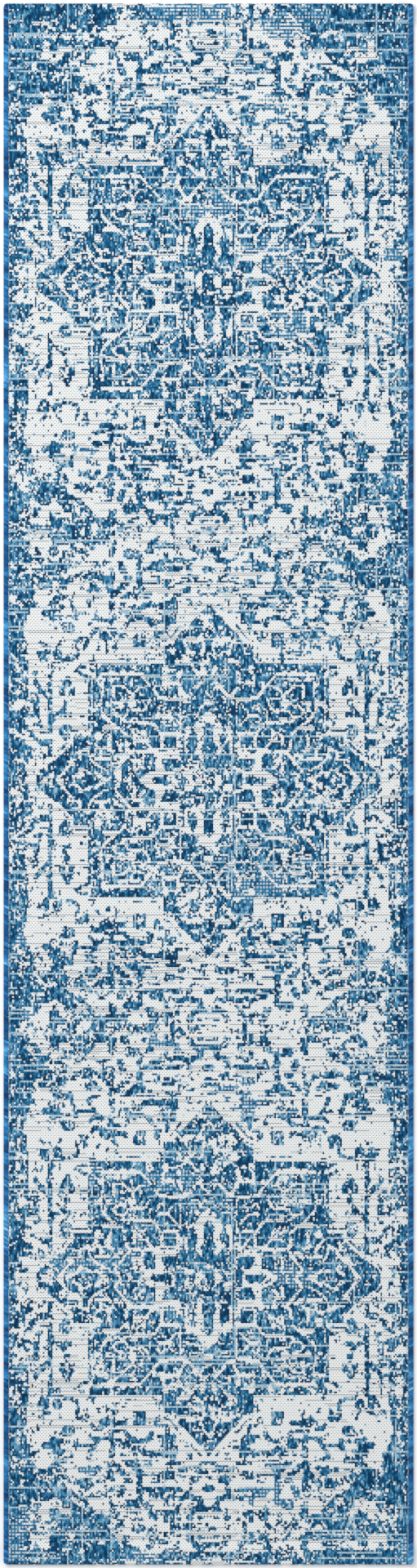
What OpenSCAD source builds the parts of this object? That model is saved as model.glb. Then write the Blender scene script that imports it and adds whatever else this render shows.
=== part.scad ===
// Flat-woven runner rug: one cloth with both ends turned under, and yarn-bound long edges.
// Millimetres. X runs across the rug, Y along it towards the head end, Z up.
// The origin is on the floor, under the middle of the rug.

/* [Rug] */
// Overall width, over both bound edges
rug_w = 610; // [450:10:910]
// Overall length, fold to fold
rug_l = 2320; // [1500:10:3000]
// Thickness of the woven cloth
cloth_t = 3.5; // [2.5:0.5:5]

/* [Turned ends] */
// Depth of cloth turned under at each end
hem_depth = 22; // [15:1:40]
// Length over which the cloth climbs onto the turned part
hem_climb = 14; // [10:1:30]
// Slack between the two layers of a turned end
hem_slack = 0.3; // [0.2:0.1:0.6]
// Distance between two zigzags of the hem thread
hem_stitch = 10; // [6:1:16]
// Diameter of the hem thread
hem_thread_d = 0.7; // [0.5:0.1:0.9]

/* [Bound edges] */
// Width of the binding seen from above
binding_w = 8; // [7:0.5:12]
// Thickness of the binding yarn over and beside the cloth
yarn_t = 1.2; // [0.8:0.1:1.5]
// Thickness of the yarn pressed in under the cloth
under_yarn_t = 1; // [0.6:0.1:1.2]
// Rounding of the binding at the rug's corners, in plan
corner_r = 4; // [2:0.5:4]
// Diameter of the lock thread along the binding's inner side
lock_thread_d = 0.6; // [0.4:0.1:0.8]
// Distance between two stitches of the lock thread
lock_stitch = 8; // [6:1:12]

/* [Care label] */
// Width of the blank label under the foot end
label_w = 60; // [40:5:80]
// Length of the label
label_l = 40; // [30:5:60]
// Thickness of the label
label_t = 0.3; // [0.2:0.05:0.4]
// Distance between two stitches round the label
label_stitch = 5; // [4:1:8]

/* [Hidden] */

left = -1;
right = 1;
head = 1;
foot = -1;
cord_fn = 32;
corner_fn = 12;
climb_steps = 8;
fold_steps = 16;
thin = 0.01;                                      // thickness of a slice that a hull spans

half_l = rug_l / 2;
edge_cord_d = cloth_t - under_yarn_t;
cloth_half_w = rug_w / 2 - yarn_t - edge_cord_d;  // the cloth stops beside the edge cord
binding_in = rug_w / 2 - binding_w;               // inner side of the binding
edge_cord_x = cloth_half_w + edge_cord_d / 2;
edge_cord_z = under_yarn_t + edge_cord_d / 2;
edge_cord_l = rug_l - 2 * corner_r;
binding_l = rug_l - 2 * yarn_t;                   // the folds stand a little proud of the binding
binding_half_l = binding_l / 2;

layer_rise = cloth_t + hem_slack;                 // how far the top layer is lifted at an end
fold_r = (2 * cloth_t + hem_slack) / 2;           // outer radius of the fold
fold_y = half_l - fold_r;                         // centre of the fold
hem_y = half_l - hem_depth;                       // raw edge of the turned part
climb_y = hem_y - hem_climb;                      // where the cloth leaves the floor
low_h = cloth_t + yarn_t;                         // height of the binding along the rug
high_h = 2 * cloth_t + hem_slack + yarn_t;        // height of the binding at the ends
binding_r = low_h / 2;                            // rounding of the binding's outer side

label_x = cloth_half_w - label_w / 2 - 30;
label_y = -(climb_y - label_l / 2 - 20);
label_thread_d = label_t;
label_pocket = label_t + label_thread_d;
cut_w = 0.02;                                     // width of the hairline cuts

function ease(t) = t * t * (3 - 2 * t);

// Height of the underside of the top layer at distance y from the middle of the rug.
function lift(y) =
    let (t = (abs(y) - climb_y) / hem_climb)
    layer_rise * ease(min(max(t, 0), 1));

function arc(r, from, to) = [
    for (i = [0 : fold_steps])
        let (a = from + (to - from) * i / fold_steps)
        [fold_y + r * sin(a), fold_r + r * cos(a)]
];

function climb_y_at(i) = climb_y + hem_climb * i / climb_steps;

// The cloth's outline at one end, as [y, z]: up onto the hem, round the fold and back underneath.
function end_outline() = concat(
    [for (i = [0 : climb_steps]) [climb_y_at(i), cloth_t + lift(climb_y_at(i))]],
    arc(fold_r, 0, 180),
    [[hem_y, 0], [hem_y, cloth_t]],
    arc(hem_slack / 2, 180, 0),
    [for (i = [climb_steps : -1 : 0]) [climb_y_at(i), lift(climb_y_at(i))]]
);

module along_x(width) {
    rotate([90, 0, 90])
        linear_extrude(width, center = true)
            children();
}

module along_y(from, to) {
    translate([0, to, 0])
        rotate([90, 0, 0])
            linear_extrude(to - from)
                children();
}

module cloth_outline() {
    near = end_outline();
    far = [for (i = [len(near) - 1 : -1 : 0]) [-near[i][0], near[i][1]]];
    polygon(concat(near, far));
}

// The whole cloth, thinned underneath along both long edges where the binding yarn is pressed in.
module cloth() {
    difference() {
        along_x(2 * cloth_half_w) cloth_outline();
        for (side = [left, right])
            translate([side * rug_w / 2, 0, 0])
                cube([2 * binding_w, rug_l + 2, 2 * under_yarn_t], center = true);
    }
}

// Hairline cuts just before the two ends begin to rise. The real cloth and yarn run on: the cuts
// leave the raised ends and the low middle as separate solids, so that collision follows the rise.
module rise_cuts() {
    for (end = [head, foot])
        translate([0, end * (climb_y - 1), 0])
            cube([rug_w + 2, cut_w, 4 * high_h], center = true);
}

module woven_panel() {
    color("lightsteelblue")
        difference() {
            cloth();
            rise_cuts();
            translate([label_x - label_w / 2, label_y - label_l / 2, -1])
                cube([label_w, label_l, 1 + label_pocket]);
        }
}

// Everything of one long edge is drawn on the right and mirrored to the left.
module on_side(side) {
    if (side == left)
        mirror([1, 0, 0]) children();
    else
        children();
}

module edge_cord(side) {
    color("ivory")
        on_side(side)
            translate([edge_cord_x, 0, edge_cord_z])
                rotate([90, 0, 0])
                    cylinder(h = edge_cord_l, d = edge_cord_d, center = true, $fn = cord_fn);
}

// Points of a quarter round of the binding's section, as [x, z].
function quarter(z, from) = [
    for (i = [0 : corner_fn / 4])
        let (a = from + 360 / corner_fn * i)
        [rug_w / 2 - binding_r + binding_r * cos(a), z + binding_r * sin(a)]
];

// Section of the binding with a round outer side.
module binding_section(height) {
    polygon(concat(
        [[binding_in, 0]],
        quarter(binding_r, -90),
        quarter(height - binding_r, 0),
        [[binding_in, height]]
    ));
}

// What the binding keeps in plan: a strip with rounded outer corners.
module binding_plan() {
    translate([binding_in + (binding_w - corner_r) / 2, 0])
        square([binding_w - corner_r, binding_l], center = true);
    translate([rug_w / 2 - corner_r / 2, 0])
        square([corner_r, binding_l - 2 * corner_r], center = true);
    for (end = [head, foot])
        translate([rug_w / 2 - corner_r, end * (binding_half_l - corner_r)])
            circle(corner_r, $fn = corner_fn);
}

module binding_body() {
    along_y(-climb_y, climb_y) binding_section(low_h);
    for (end = [head, foot]) {
        hull() {
            translate([0, end * (climb_y + thin), 0])
                along_y(-thin, thin) binding_section(low_h);
            translate([0, end * (hem_y - thin), 0])
                along_y(-thin, thin) binding_section(high_h);
        }
        translate([0, end * (hem_y + hem_depth / 2), 0])
            along_y(-hem_depth / 2, hem_depth / 2) binding_section(high_h);
    }
}

// Outline of what the binding wraps, as [y, z]: the cloth with its folds taken as full.
module wrapped_outline() {
    near = concat(
        [for (i = [0 : climb_steps]) [climb_y_at(i), cloth_t + lift(climb_y_at(i))]],
        [[half_l, cloth_t + layer_rise], [half_l, under_yarn_t]]
    );
    far = [for (i = [len(near) - 1 : -1 : 0]) [-near[i][0], near[i][1]]];
    polygon(concat(near, far));
}

// The hollow in the binding: the cloth's edge, and the cord beside it.
module binding_core() {
    along_x(2 * cloth_half_w) wrapped_outline();
    along_y(-edge_cord_l / 2, edge_cord_l / 2) {
        translate([edge_cord_x, edge_cord_z])
            circle(d = edge_cord_d, $fn = cord_fn);
        translate([edge_cord_x - edge_cord_d, under_yarn_t])
            square([edge_cord_d, edge_cord_d]);
    }
}

module edge_binding(side) {
    color("royalblue")
        on_side(side)
            difference() {
                intersection() {
                    binding_body();
                    linear_extrude(high_h) binding_plan();
                }
                binding_core();
                rise_cuts();
            }
}

// A straight length of thread between two points.
module thread(a, b, d) {
    step = b - a;
    reach = norm(step);
    translate(a)
        rotate([0, acos(step[2] / reach), atan2(step[1], step[0])])
            cylinder(h = reach, d = d, $fn = 16);
}

module binding_lock_thread(side) {
    x = side * (binding_in - lock_thread_d / 2);
    count = floor((rug_l - 2 * fold_r) / lock_stitch);
    stitch_l = 0.7 * lock_stitch;
    first = -count * lock_stitch / 2;
    color("navy")
        for (i = [0 : count - 1]) {
            y1 = first + i * lock_stitch;
            y2 = y1 + stitch_l;
            // On the curve of a climb the thread spans the hollow: it rides on chord or cloth,
            // whichever is higher.
            mid = lift((y1 + y2) / 2) - (lift(y1) + lift(y2)) / 2;
            above = cloth_t + lock_thread_d / 2 + max(mid, 0);
            thread([x, y1, above + lift(y1)], [x, y2, above + lift(y2)], lock_thread_d);
        }
}

module hem_thread(end) {
    r = hem_thread_d / 2;
    reach_y = hem_climb * 0.4;
    count = floor((2 * binding_in - hem_stitch) / hem_stitch);
    first = -count * hem_stitch / 2;
    y1 = hem_y - r;
    y2 = hem_y - reach_y;
    z1 = cloth_t / 2;
    z2 = lift(y2) - 1.3 * r;
    gap = r;
    color("navy")
        for (i = [0 : count - 1]) {
            x0 = first + i * hem_stitch;
            x1 = x0 + hem_stitch / 2;
            thread([x0 + gap, end * y1, z1], [x1 - gap, end * y2, z2], hem_thread_d);
            thread([x1 + gap, end * y2, z2], [x1 + hem_stitch / 2 - gap, end * y1, z1], hem_thread_d);
        }
}

module care_label() {
    color("white")
        translate([label_x - label_w / 2, label_y - label_l / 2, label_thread_d])
            cube([label_w, label_l, label_t]);
}

// Stitches in a row from a, count of them, along the unit direction dir.
module stitch_row(a, dir, count) {
    for (i = [0 : count - 1]) {
        from = a + dir * (i + 0.2) * label_stitch;
        thread(from, from + dir * 0.6 * label_stitch, label_thread_d);
    }
}

module care_label_thread() {
    inset = 2;
    across = floor((label_w - 2 * inset) / label_stitch);
    along = floor((label_l - 2 * inset) / label_stitch);
    x = across * label_stitch / 2;
    y = along * label_stitch / 2;
    color("silver")
        translate([label_x, label_y, label_thread_d / 2]) {
            for (end = [head, foot]) stitch_row([-x, end * y, 0], [1, 0, 0], across);
            for (side = [left, right]) stitch_row([side * x, -y, 0], [0, 1, 0], along);
        }
}

woven_panel();
edge_cord(left);  // left_edge_cord
edge_cord(right);  // right_edge_cord
edge_binding(left);  // left_edge_binding
edge_binding(right);  // right_edge_binding
binding_lock_thread(left);  // left_binding_lock_thread
binding_lock_thread(right);  // right_binding_lock_thread
hem_thread(head);  // head_hem_thread
hem_thread(foot);  // foot_hem_thread
care_label();
care_label_thread();
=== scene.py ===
"""Flat-woven runner rug: one cloth with turned ends, yarn-bound edges and a worn medallion pattern.

Lengths are metres. X runs across the rug, Y along it towards the head end, and Z up. The pattern is
drafted like a weaver's point paper, in ends across the rug and picks along it, on one quarter of a
medallion that is turned over sideways and lengthways and repeated.
"""

import logging
import math
from collections.abc import Sequence
from dataclasses import dataclass, field
from enum import Enum

import bmesh
import bpy
import numpy as np
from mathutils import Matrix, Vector


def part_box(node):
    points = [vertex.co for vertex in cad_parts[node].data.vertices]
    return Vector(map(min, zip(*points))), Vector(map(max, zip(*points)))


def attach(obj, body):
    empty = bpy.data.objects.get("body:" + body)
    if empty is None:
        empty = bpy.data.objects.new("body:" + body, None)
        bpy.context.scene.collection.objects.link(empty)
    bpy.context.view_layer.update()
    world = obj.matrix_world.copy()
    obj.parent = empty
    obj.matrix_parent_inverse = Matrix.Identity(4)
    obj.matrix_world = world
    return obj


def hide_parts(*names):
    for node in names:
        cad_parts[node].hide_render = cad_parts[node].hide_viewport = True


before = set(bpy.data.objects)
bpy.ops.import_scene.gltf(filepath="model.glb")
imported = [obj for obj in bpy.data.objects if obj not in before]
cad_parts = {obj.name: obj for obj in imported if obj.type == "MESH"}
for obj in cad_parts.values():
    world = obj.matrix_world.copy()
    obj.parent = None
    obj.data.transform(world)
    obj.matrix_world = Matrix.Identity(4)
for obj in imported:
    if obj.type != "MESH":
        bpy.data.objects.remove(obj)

LOG = logging.getLogger("runner_rug")
MM = 0.001
ROOT = "root"
HEAD, FOOT = 1, -1
LEFT, RIGHT = -1, 1
TAU = 2 * math.pi

SIDE_WORDS = {LEFT: "left", RIGHT: "right"}
END_WORDS = {HEAD: "head", FOOT: "foot"}

Array = np.ndarray


def linear(red: int, green: int, blue: int) -> tuple[float, float, float, float]:
    """Turn a display colour into the linear one that shaders use.

    Args:
        red: Red, from 0 to 255.
        green: Green, from 0 to 255.
        blue: Blue, from 0 to 255.

    Returns:
        The linear colour, with an alpha of 1.
    """
    knee = 0.04045
    parts = [c / 255 for c in (red, green, blue)]
    straight = [p / 12.92 if p <= knee else ((p + 0.055) / 1.055) ** 2.4 for p in parts]
    return (*straight, 1.0)


def to_mesh(bm: bmesh.types.BMesh, name: str) -> bpy.types.Mesh:
    """Turn a bmesh into a mesh, and free it.

    Args:
        bm: The bmesh.
        name: The mesh's name.

    Returns:
        The mesh.
    """
    mesh = bpy.data.meshes.new(name)
    bm.to_mesh(mesh)
    bm.free()
    return mesh


def link_new(name: str, data: bpy.types.ID) -> bpy.types.Object:
    """Make an object and link it to the scene.

    Args:
        name: The object's name.
        data: Its mesh, camera or light.

    Returns:
        The object.
    """
    body = bpy.data.objects.new(name, data)
    bpy.context.scene.collection.objects.link(body)
    return body


# ---------------------------------------------------------------------------
# Shader expressions
# ---------------------------------------------------------------------------


class Signal:
    """A socket whose value varies over a surface, with Python's operators for Math nodes."""

    def __init__(self, shader: "Shader", socket: bpy.types.NodeSocket) -> None:
        """Wrap a socket of the shader's tree."""
        self.shader = shader
        self.socket = socket

    def __add__(self, other: "Signal | float") -> "Signal":
        """Add."""
        return self.shader.math("ADD", self, other)

    def __radd__(self, other: float) -> "Signal":
        """Add to a number."""
        return self.shader.math("ADD", other, self)

    def __sub__(self, other: "Signal | float") -> "Signal":
        """Subtract."""
        return self.shader.math("SUBTRACT", self, other)

    def __rsub__(self, other: float) -> "Signal":
        """Subtract from a number."""
        return self.shader.math("SUBTRACT", other, self)

    def __mul__(self, other: "Signal | float") -> "Signal":
        """Multiply."""
        return self.shader.math("MULTIPLY", self, other)

    def __rmul__(self, other: float) -> "Signal":
        """Multiply a number."""
        return self.shader.math("MULTIPLY", other, self)

    def __mod__(self, other: "Signal | float") -> "Signal":
        """Remainder, never negative."""
        return self.shader.math("FLOORED_MODULO", self, other)

    def __gt__(self, other: "Signal | float") -> "Signal":
        """1 where greater, else 0."""
        return self.shader.math("GREATER_THAN", self, other)

    def __lt__(self, other: "Signal | float") -> "Signal":
        """1 where less, else 0."""
        return self.shader.math("LESS_THAN", self, other)

    def floor(self) -> "Signal":
        """Whole part."""
        return self.shader.math("FLOOR", self)

    def fract(self) -> "Signal":
        """Part after the point."""
        return self.shader.math("FRACT", self)

    def sine(self) -> "Signal":
        """Sine of radians."""
        return self.shader.math("SINE", self)

    def power(self, exponent: float) -> "Signal":
        """Raise to a power."""
        return self.shader.math("POWER", self, exponent)

    def at(self, number: int) -> "Signal":
        """1 where the value is that whole number, else 0."""
        return self.shader.math("COMPARE", self, float(number), 0.5)

    def near(self, centre: float, reach: float, soft: float) -> "Signal":
        """A soft stripe of 1 around a value.

        Args:
            centre: The middle of the stripe.
            reach: Half the stripe's width.
            soft: How far its edge fades.

        Returns:
            1 inside the stripe and 0 away from it.
        """
        gap = self.shader.math("ABSOLUTE", self - centre)
        return self.shader.fade(gap, reach + soft, reach)


class Shader:
    """A material's node tree, written as expressions."""

    SPECULAR = 0.1
    SHEEN_ROUGHNESS = 0.6

    def __init__(self, name: str) -> None:
        """Make a material that holds only a Principled shader and its output.

        Args:
            name: The material's name.
        """
        self.material = bpy.data.materials.new(name)
        self.material.use_nodes = True
        self.tree = self.material.node_tree
        self.tree.nodes.clear()
        self.output = self.node("ShaderNodeOutputMaterial")
        self.surface = self.node("ShaderNodeBsdfPrincipled")
        self.tree.links.new(self.surface.outputs["BSDF"], self.output.inputs["Surface"])

    def node(
        self,
        kind: str,
        settings: dict[str, object] | None = None,
        inputs: dict[str | int, object] | None = None,
    ) -> bpy.types.Node:
        """Add any node.

        Args:
            kind: The node's type.
            settings: Its own settings, set first. "stops" are a colour ramp's.
            inputs: A value, or something to link, for each named or numbered socket.

        Returns:
            The node.
        """
        node = self.tree.nodes.new(kind)
        for key, value in (settings or {}).items():
            if key == "stops":
                self._set_stops(node.color_ramp, value)
            else:
                setattr(node, key, value)
        for key, value in (inputs or {}).items():
            self.feed(node.inputs[key], value)
        return node

    @staticmethod
    def _set_stops(ramp: bpy.types.ColorRamp, stops: Sequence[tuple[float, tuple]]) -> None:
        """Give a ramp its stops, as (position, colour).

        Args:
            ramp: The colour ramp.
            stops: Its stops, in order.
        """
        while len(ramp.elements) < len(stops):
            ramp.elements.new(1.0)
        for element, (position, colour) in zip(ramp.elements, stops, strict=True):
            element.position = position
            element.color = colour

    def feed(self, socket: bpy.types.NodeSocket, value: object) -> None:
        """Link a signal to a socket, or set a plain value on it.

        Args:
            socket: The socket.
            value: A signal, or a value of the socket's kind.
        """
        if isinstance(value, Signal):
            self.tree.links.new(value.socket, socket)
        else:
            socket.default_value = value

    def math(self, operation: str, *values: "Signal | float") -> Signal:
        """Add a Math node."""
        node = self.node("ShaderNodeMath", {"operation": operation}, dict(enumerate(values)))
        return Signal(self, node.outputs[0])

    def fade(self, value: Signal, start: float, end: float) -> Signal:
        """Rise smoothly from 0 to 1 as a value goes from start to end.

        Args:
            value: The value.
            start: Where the result is 0.
            end: Where the result is 1.

        Returns:
            The result, from 0 to 1.
        """
        inputs = {"Value": value, "From Min": start, "From Max": end}
        if start > end:
            inputs = {"Value": value, "From Min": end, "From Max": start, "To Min": 1.0, "To Max": 0.0}
        node = self.node("ShaderNodeMapRange", {"interpolation_type": "SMOOTHSTEP"}, inputs)
        return Signal(self, node.outputs["Result"])

    def mix(self, factor: Signal | float, first: object, second: object) -> Signal:
        """Blend two colours."""
        node = self.node("ShaderNodeMix", {"data_type": "RGBA"}, {0: factor, 6: first, 7: second})
        return Signal(self, node.outputs[2])

    def shade(self, colour: object, factor: Signal) -> Signal:
        """Multiply a colour by a number.

        Args:
            colour: A signal or a fixed colour.
            factor: The number.

        Returns:
            The colour, lighter or darker.
        """
        scale = self.node("ShaderNodeCombineXYZ", None, {0: factor, 1: factor, 2: factor})
        scaled = self.node(
            "ShaderNodeVectorMath",
            {"operation": "MULTIPLY"},
            {0: colour if isinstance(colour, Signal) else colour[:3], 1: Signal(self, scale.outputs[0])},
        )
        return Signal(self, scaled.outputs[0])

    def ramp(self, value: Signal, stops: Sequence[tuple[float, tuple]]) -> Signal:
        """Look a number up in a colour ramp."""
        node = self.node("ShaderNodeValToRGB", {"stops": stops}, {"Fac": value})
        return Signal(self, node.outputs["Color"])

    def noise(self, place: Signal, scale: float, detail: float = 2.0) -> Signal:
        """Smooth noise from 0 to 1 at a place."""
        node = self.node("ShaderNodeTexNoise", None, {"Vector": place, "Scale": scale, "Detail": detail})
        return Signal(self, node.outputs["Fac"])

    def vector(self, x: Signal | float, y: Signal | float, z: Signal | float = 0.0) -> Signal:
        """Put three numbers together."""
        node = self.node("ShaderNodeCombineXYZ", None, {0: x, 1: y, 2: z})
        return Signal(self, node.outputs[0])

    def parts(self, value: Signal) -> tuple[Signal, Signal, Signal]:
        """Split a vector."""
        node = self.node("ShaderNodeSeparateXYZ", None, {0: value})
        return tuple(Signal(self, socket) for socket in node.outputs[:3])

    def uv(self, name: str) -> tuple[Signal, Signal]:
        """The two coordinates of a UV map.

        Args:
            name: The UV map's name.

        Returns:
            The coordinates across and along.
        """
        node = self.node("ShaderNodeUVMap", {"uv_map": name})
        across, along, _ = self.parts(Signal(self, node.outputs["UV"]))
        return across, along

    def place(self) -> Signal:
        """Object coordinates, in metres."""
        return Signal(self, self.node("ShaderNodeTexCoord").outputs["Object"])

    def finish(
        self,
        colour: object,
        roughness: object,
        height: Signal | None = None,
        depth: float = 0.0005,
        sheen: float = 0.0,
    ) -> bpy.types.Material:
        """Set the shader's own sockets.

        Args:
            colour: Base colour.
            roughness: Roughness.
            height: Relief from 0 to 1.
            depth: How deep the relief is, in metres.
            sheen: Weight of the fibres' sheen.

        Returns:
            The finished material.
        """
        inputs = self.surface.inputs
        self.feed(inputs["Base Color"], colour)
        self.feed(inputs["Roughness"], roughness)
        inputs["Specular IOR Level"].default_value = self.SPECULAR
        inputs["Sheen Weight"].default_value = sheen
        inputs["Sheen Roughness"].default_value = self.SHEEN_ROUGHNESS
        if height is not None:
            bump = self.node("ShaderNodeBump", None, {"Strength": 1.0, "Distance": depth, "Height": height})
            self.feed(inputs["Normal"], Signal(self, bump.outputs["Normal"]))
        return self.material


# ---------------------------------------------------------------------------
# The rug's sizes, from the frame
# ---------------------------------------------------------------------------


@dataclass(frozen=True)
class RugSizes:
    """Sizes that every piece shares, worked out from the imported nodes."""

    half_width: float
    half_length: float
    cloth_half_width: float
    binding_inner: float
    binding_half_length: float
    low_height: float
    high_height: float
    cloth: float = 3.5 * MM
    hem_depth: float = 22 * MM
    climb: float = 14 * MM
    wave: float = 0.9 * MM

    @classmethod
    def from_frame(cls) -> "RugSizes":
        """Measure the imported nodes.

        Returns:
            The rug's sizes.
        """
        panel_low, panel_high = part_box("woven_panel")
        bind_low, bind_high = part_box("right_edge_binding")
        yarn = bind_high.z - panel_high.z
        return cls(
            half_width=bind_high.x,
            half_length=panel_high.y,
            cloth_half_width=panel_high.x,
            binding_inner=bind_low.x,
            binding_half_length=bind_high.y,
            low_height=cls.cloth + yarn,
            high_height=bind_high.z,
        )

    @property
    def rise(self) -> float:
        """How far the top layer is lifted at the ends."""
        return self.high_height - self.low_height

    @property
    def fold_radius(self) -> float:
        """Outer radius of the fold."""
        return (self.rise + self.cloth) / 2

    @property
    def fold_y(self) -> float:
        """Distance of the fold's centre from the middle of the rug."""
        return self.half_length - self.fold_radius

    @property
    def hem_y(self) -> float:
        """Distance of the turned part's raw edge."""
        return self.half_length - self.hem_depth

    @property
    def climb_y(self) -> float:
        """Distance at which the cloth leaves the floor."""
        return self.hem_y - self.climb

    def lift(self, y: Array) -> Array:
        """Height of the top layer's underside at distances along the rug."""
        t = np.clip((np.abs(y) - self.climb_y) / self.climb, 0, 1)
        return self.rise * t * t * (3 - 2 * t)

    def ease(self, points: Array) -> Array:
        """Let the rug lie as cloth does: a few low, long waves, never below the floor.

        Args:
            points: Places on the rug, one a row.

        Returns:
            How far each place is lifted.
        """
        x, y = points[:, 0], points[:, 1]
        across = 0.5 + 0.5 * np.cos(TAU * (x / 0.9 + 0.15))
        along = np.sin(TAU * (y / 0.52 + 0.3 * x)) * np.sin(TAU * (y / 1.7 + 0.1))
        return self.wave * across * np.maximum(along, 0) ** 2


# ---------------------------------------------------------------------------
# Meshes
# ---------------------------------------------------------------------------


class Maker:
    """Turns bmesh grids into finished pieces of the rug."""

    def __init__(self, sizes: RugSizes) -> None:
        """Keep the rug's sizes."""
        self.sizes = sizes

    def piece(
        self, name: str, mesh: bpy.types.Mesh, finish: bpy.types.Material, slot: str
    ) -> bpy.types.Object:
        """Lay a mesh on the rug's waves and make it a piece.

        Args:
            name: The piece's name.
            mesh: Its mesh.
            finish: Its material.
            slot: Not used.

        Returns:
            The piece.
        """
        points = read_points(mesh)
        points[:, 2] += self.sizes.ease(points)
        write_points(mesh, points)
        mesh.materials.append(finish)
        mesh.shade_smooth()
        body = link_new(name, mesh)
        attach(body, ROOT)
        LOG.info("%s: %d faces", name, len(mesh.polygons))
        return body


def read_points(mesh: bpy.types.Mesh) -> Array:
    """Read a mesh's points, one a row.

    Args:
        mesh: The mesh.

    Returns:
        Its points.
    """
    flat = np.empty(len(mesh.vertices) * 3, np.float32)
    mesh.vertices.foreach_get("co", flat)
    return flat.reshape(-1, 3).astype(float)


def write_points(mesh: bpy.types.Mesh, points: Array) -> None:
    """Give a mesh's points new places."""
    mesh.vertices.foreach_set("co", points.astype(np.float32).ravel())
    mesh.update()


def unit(vectors: Array) -> Array:
    """Scale vectors to a length of 1."""
    return vectors / np.maximum(np.linalg.norm(vectors, axis=-1, keepdims=True), 1e-12)


def swept_tube(
    name: str, path: Array, outward: Array, thick: float, wide: float, sides: int
) -> bpy.types.Mesh:
    """Sweep an oval section along a path, from a grid that is rolled up and closed.

    Args:
        name: The mesh's name.
        path: Points down the middle of the yarn.
        outward: At each point, the direction in which the yarn is flattened.
        thick: The yarn's thickness in that direction.
        wide: Its width across it.
        sides: Number of faces round it.

    Returns:
        A closed tube. Its UV map "yarn" runs along it and round it.
    """
    steps = len(path) - 1
    tangent = unit(np.gradient(path, axis=0))
    side = unit(np.cross(tangent, outward))
    normal = unit(np.cross(side, tangent))
    bm = bmesh.new()
    bm.loops.layers.uv.new("yarn")
    bmesh.ops.create_grid(bm, x_segments=steps, y_segments=sides, size=1, calc_uvs=True)
    for vert in bm.verts:
        step = round((vert.co.x + 1) / 2 * steps)
        turn = (vert.co.y + 1) / 2 * TAU
        spot = path[step] + normal[step] * (thick / 2 * math.cos(turn))
        vert.co = spot + side[step] * (wide / 2 * math.sin(turn))
    bmesh.ops.remove_doubles(bm, verts=bm.verts, dist=1e-6)
    bmesh.ops.holes_fill(bm, edges=[e for e in bm.edges if e.is_boundary], sides=sides)
    bmesh.ops.recalc_face_normals(bm, faces=bm.faces)
    return to_mesh(bm, name)


# ---------------------------------------------------------------------------
# The pattern
# ---------------------------------------------------------------------------


IVORY = 0.02
BLUE = 0.97


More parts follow.
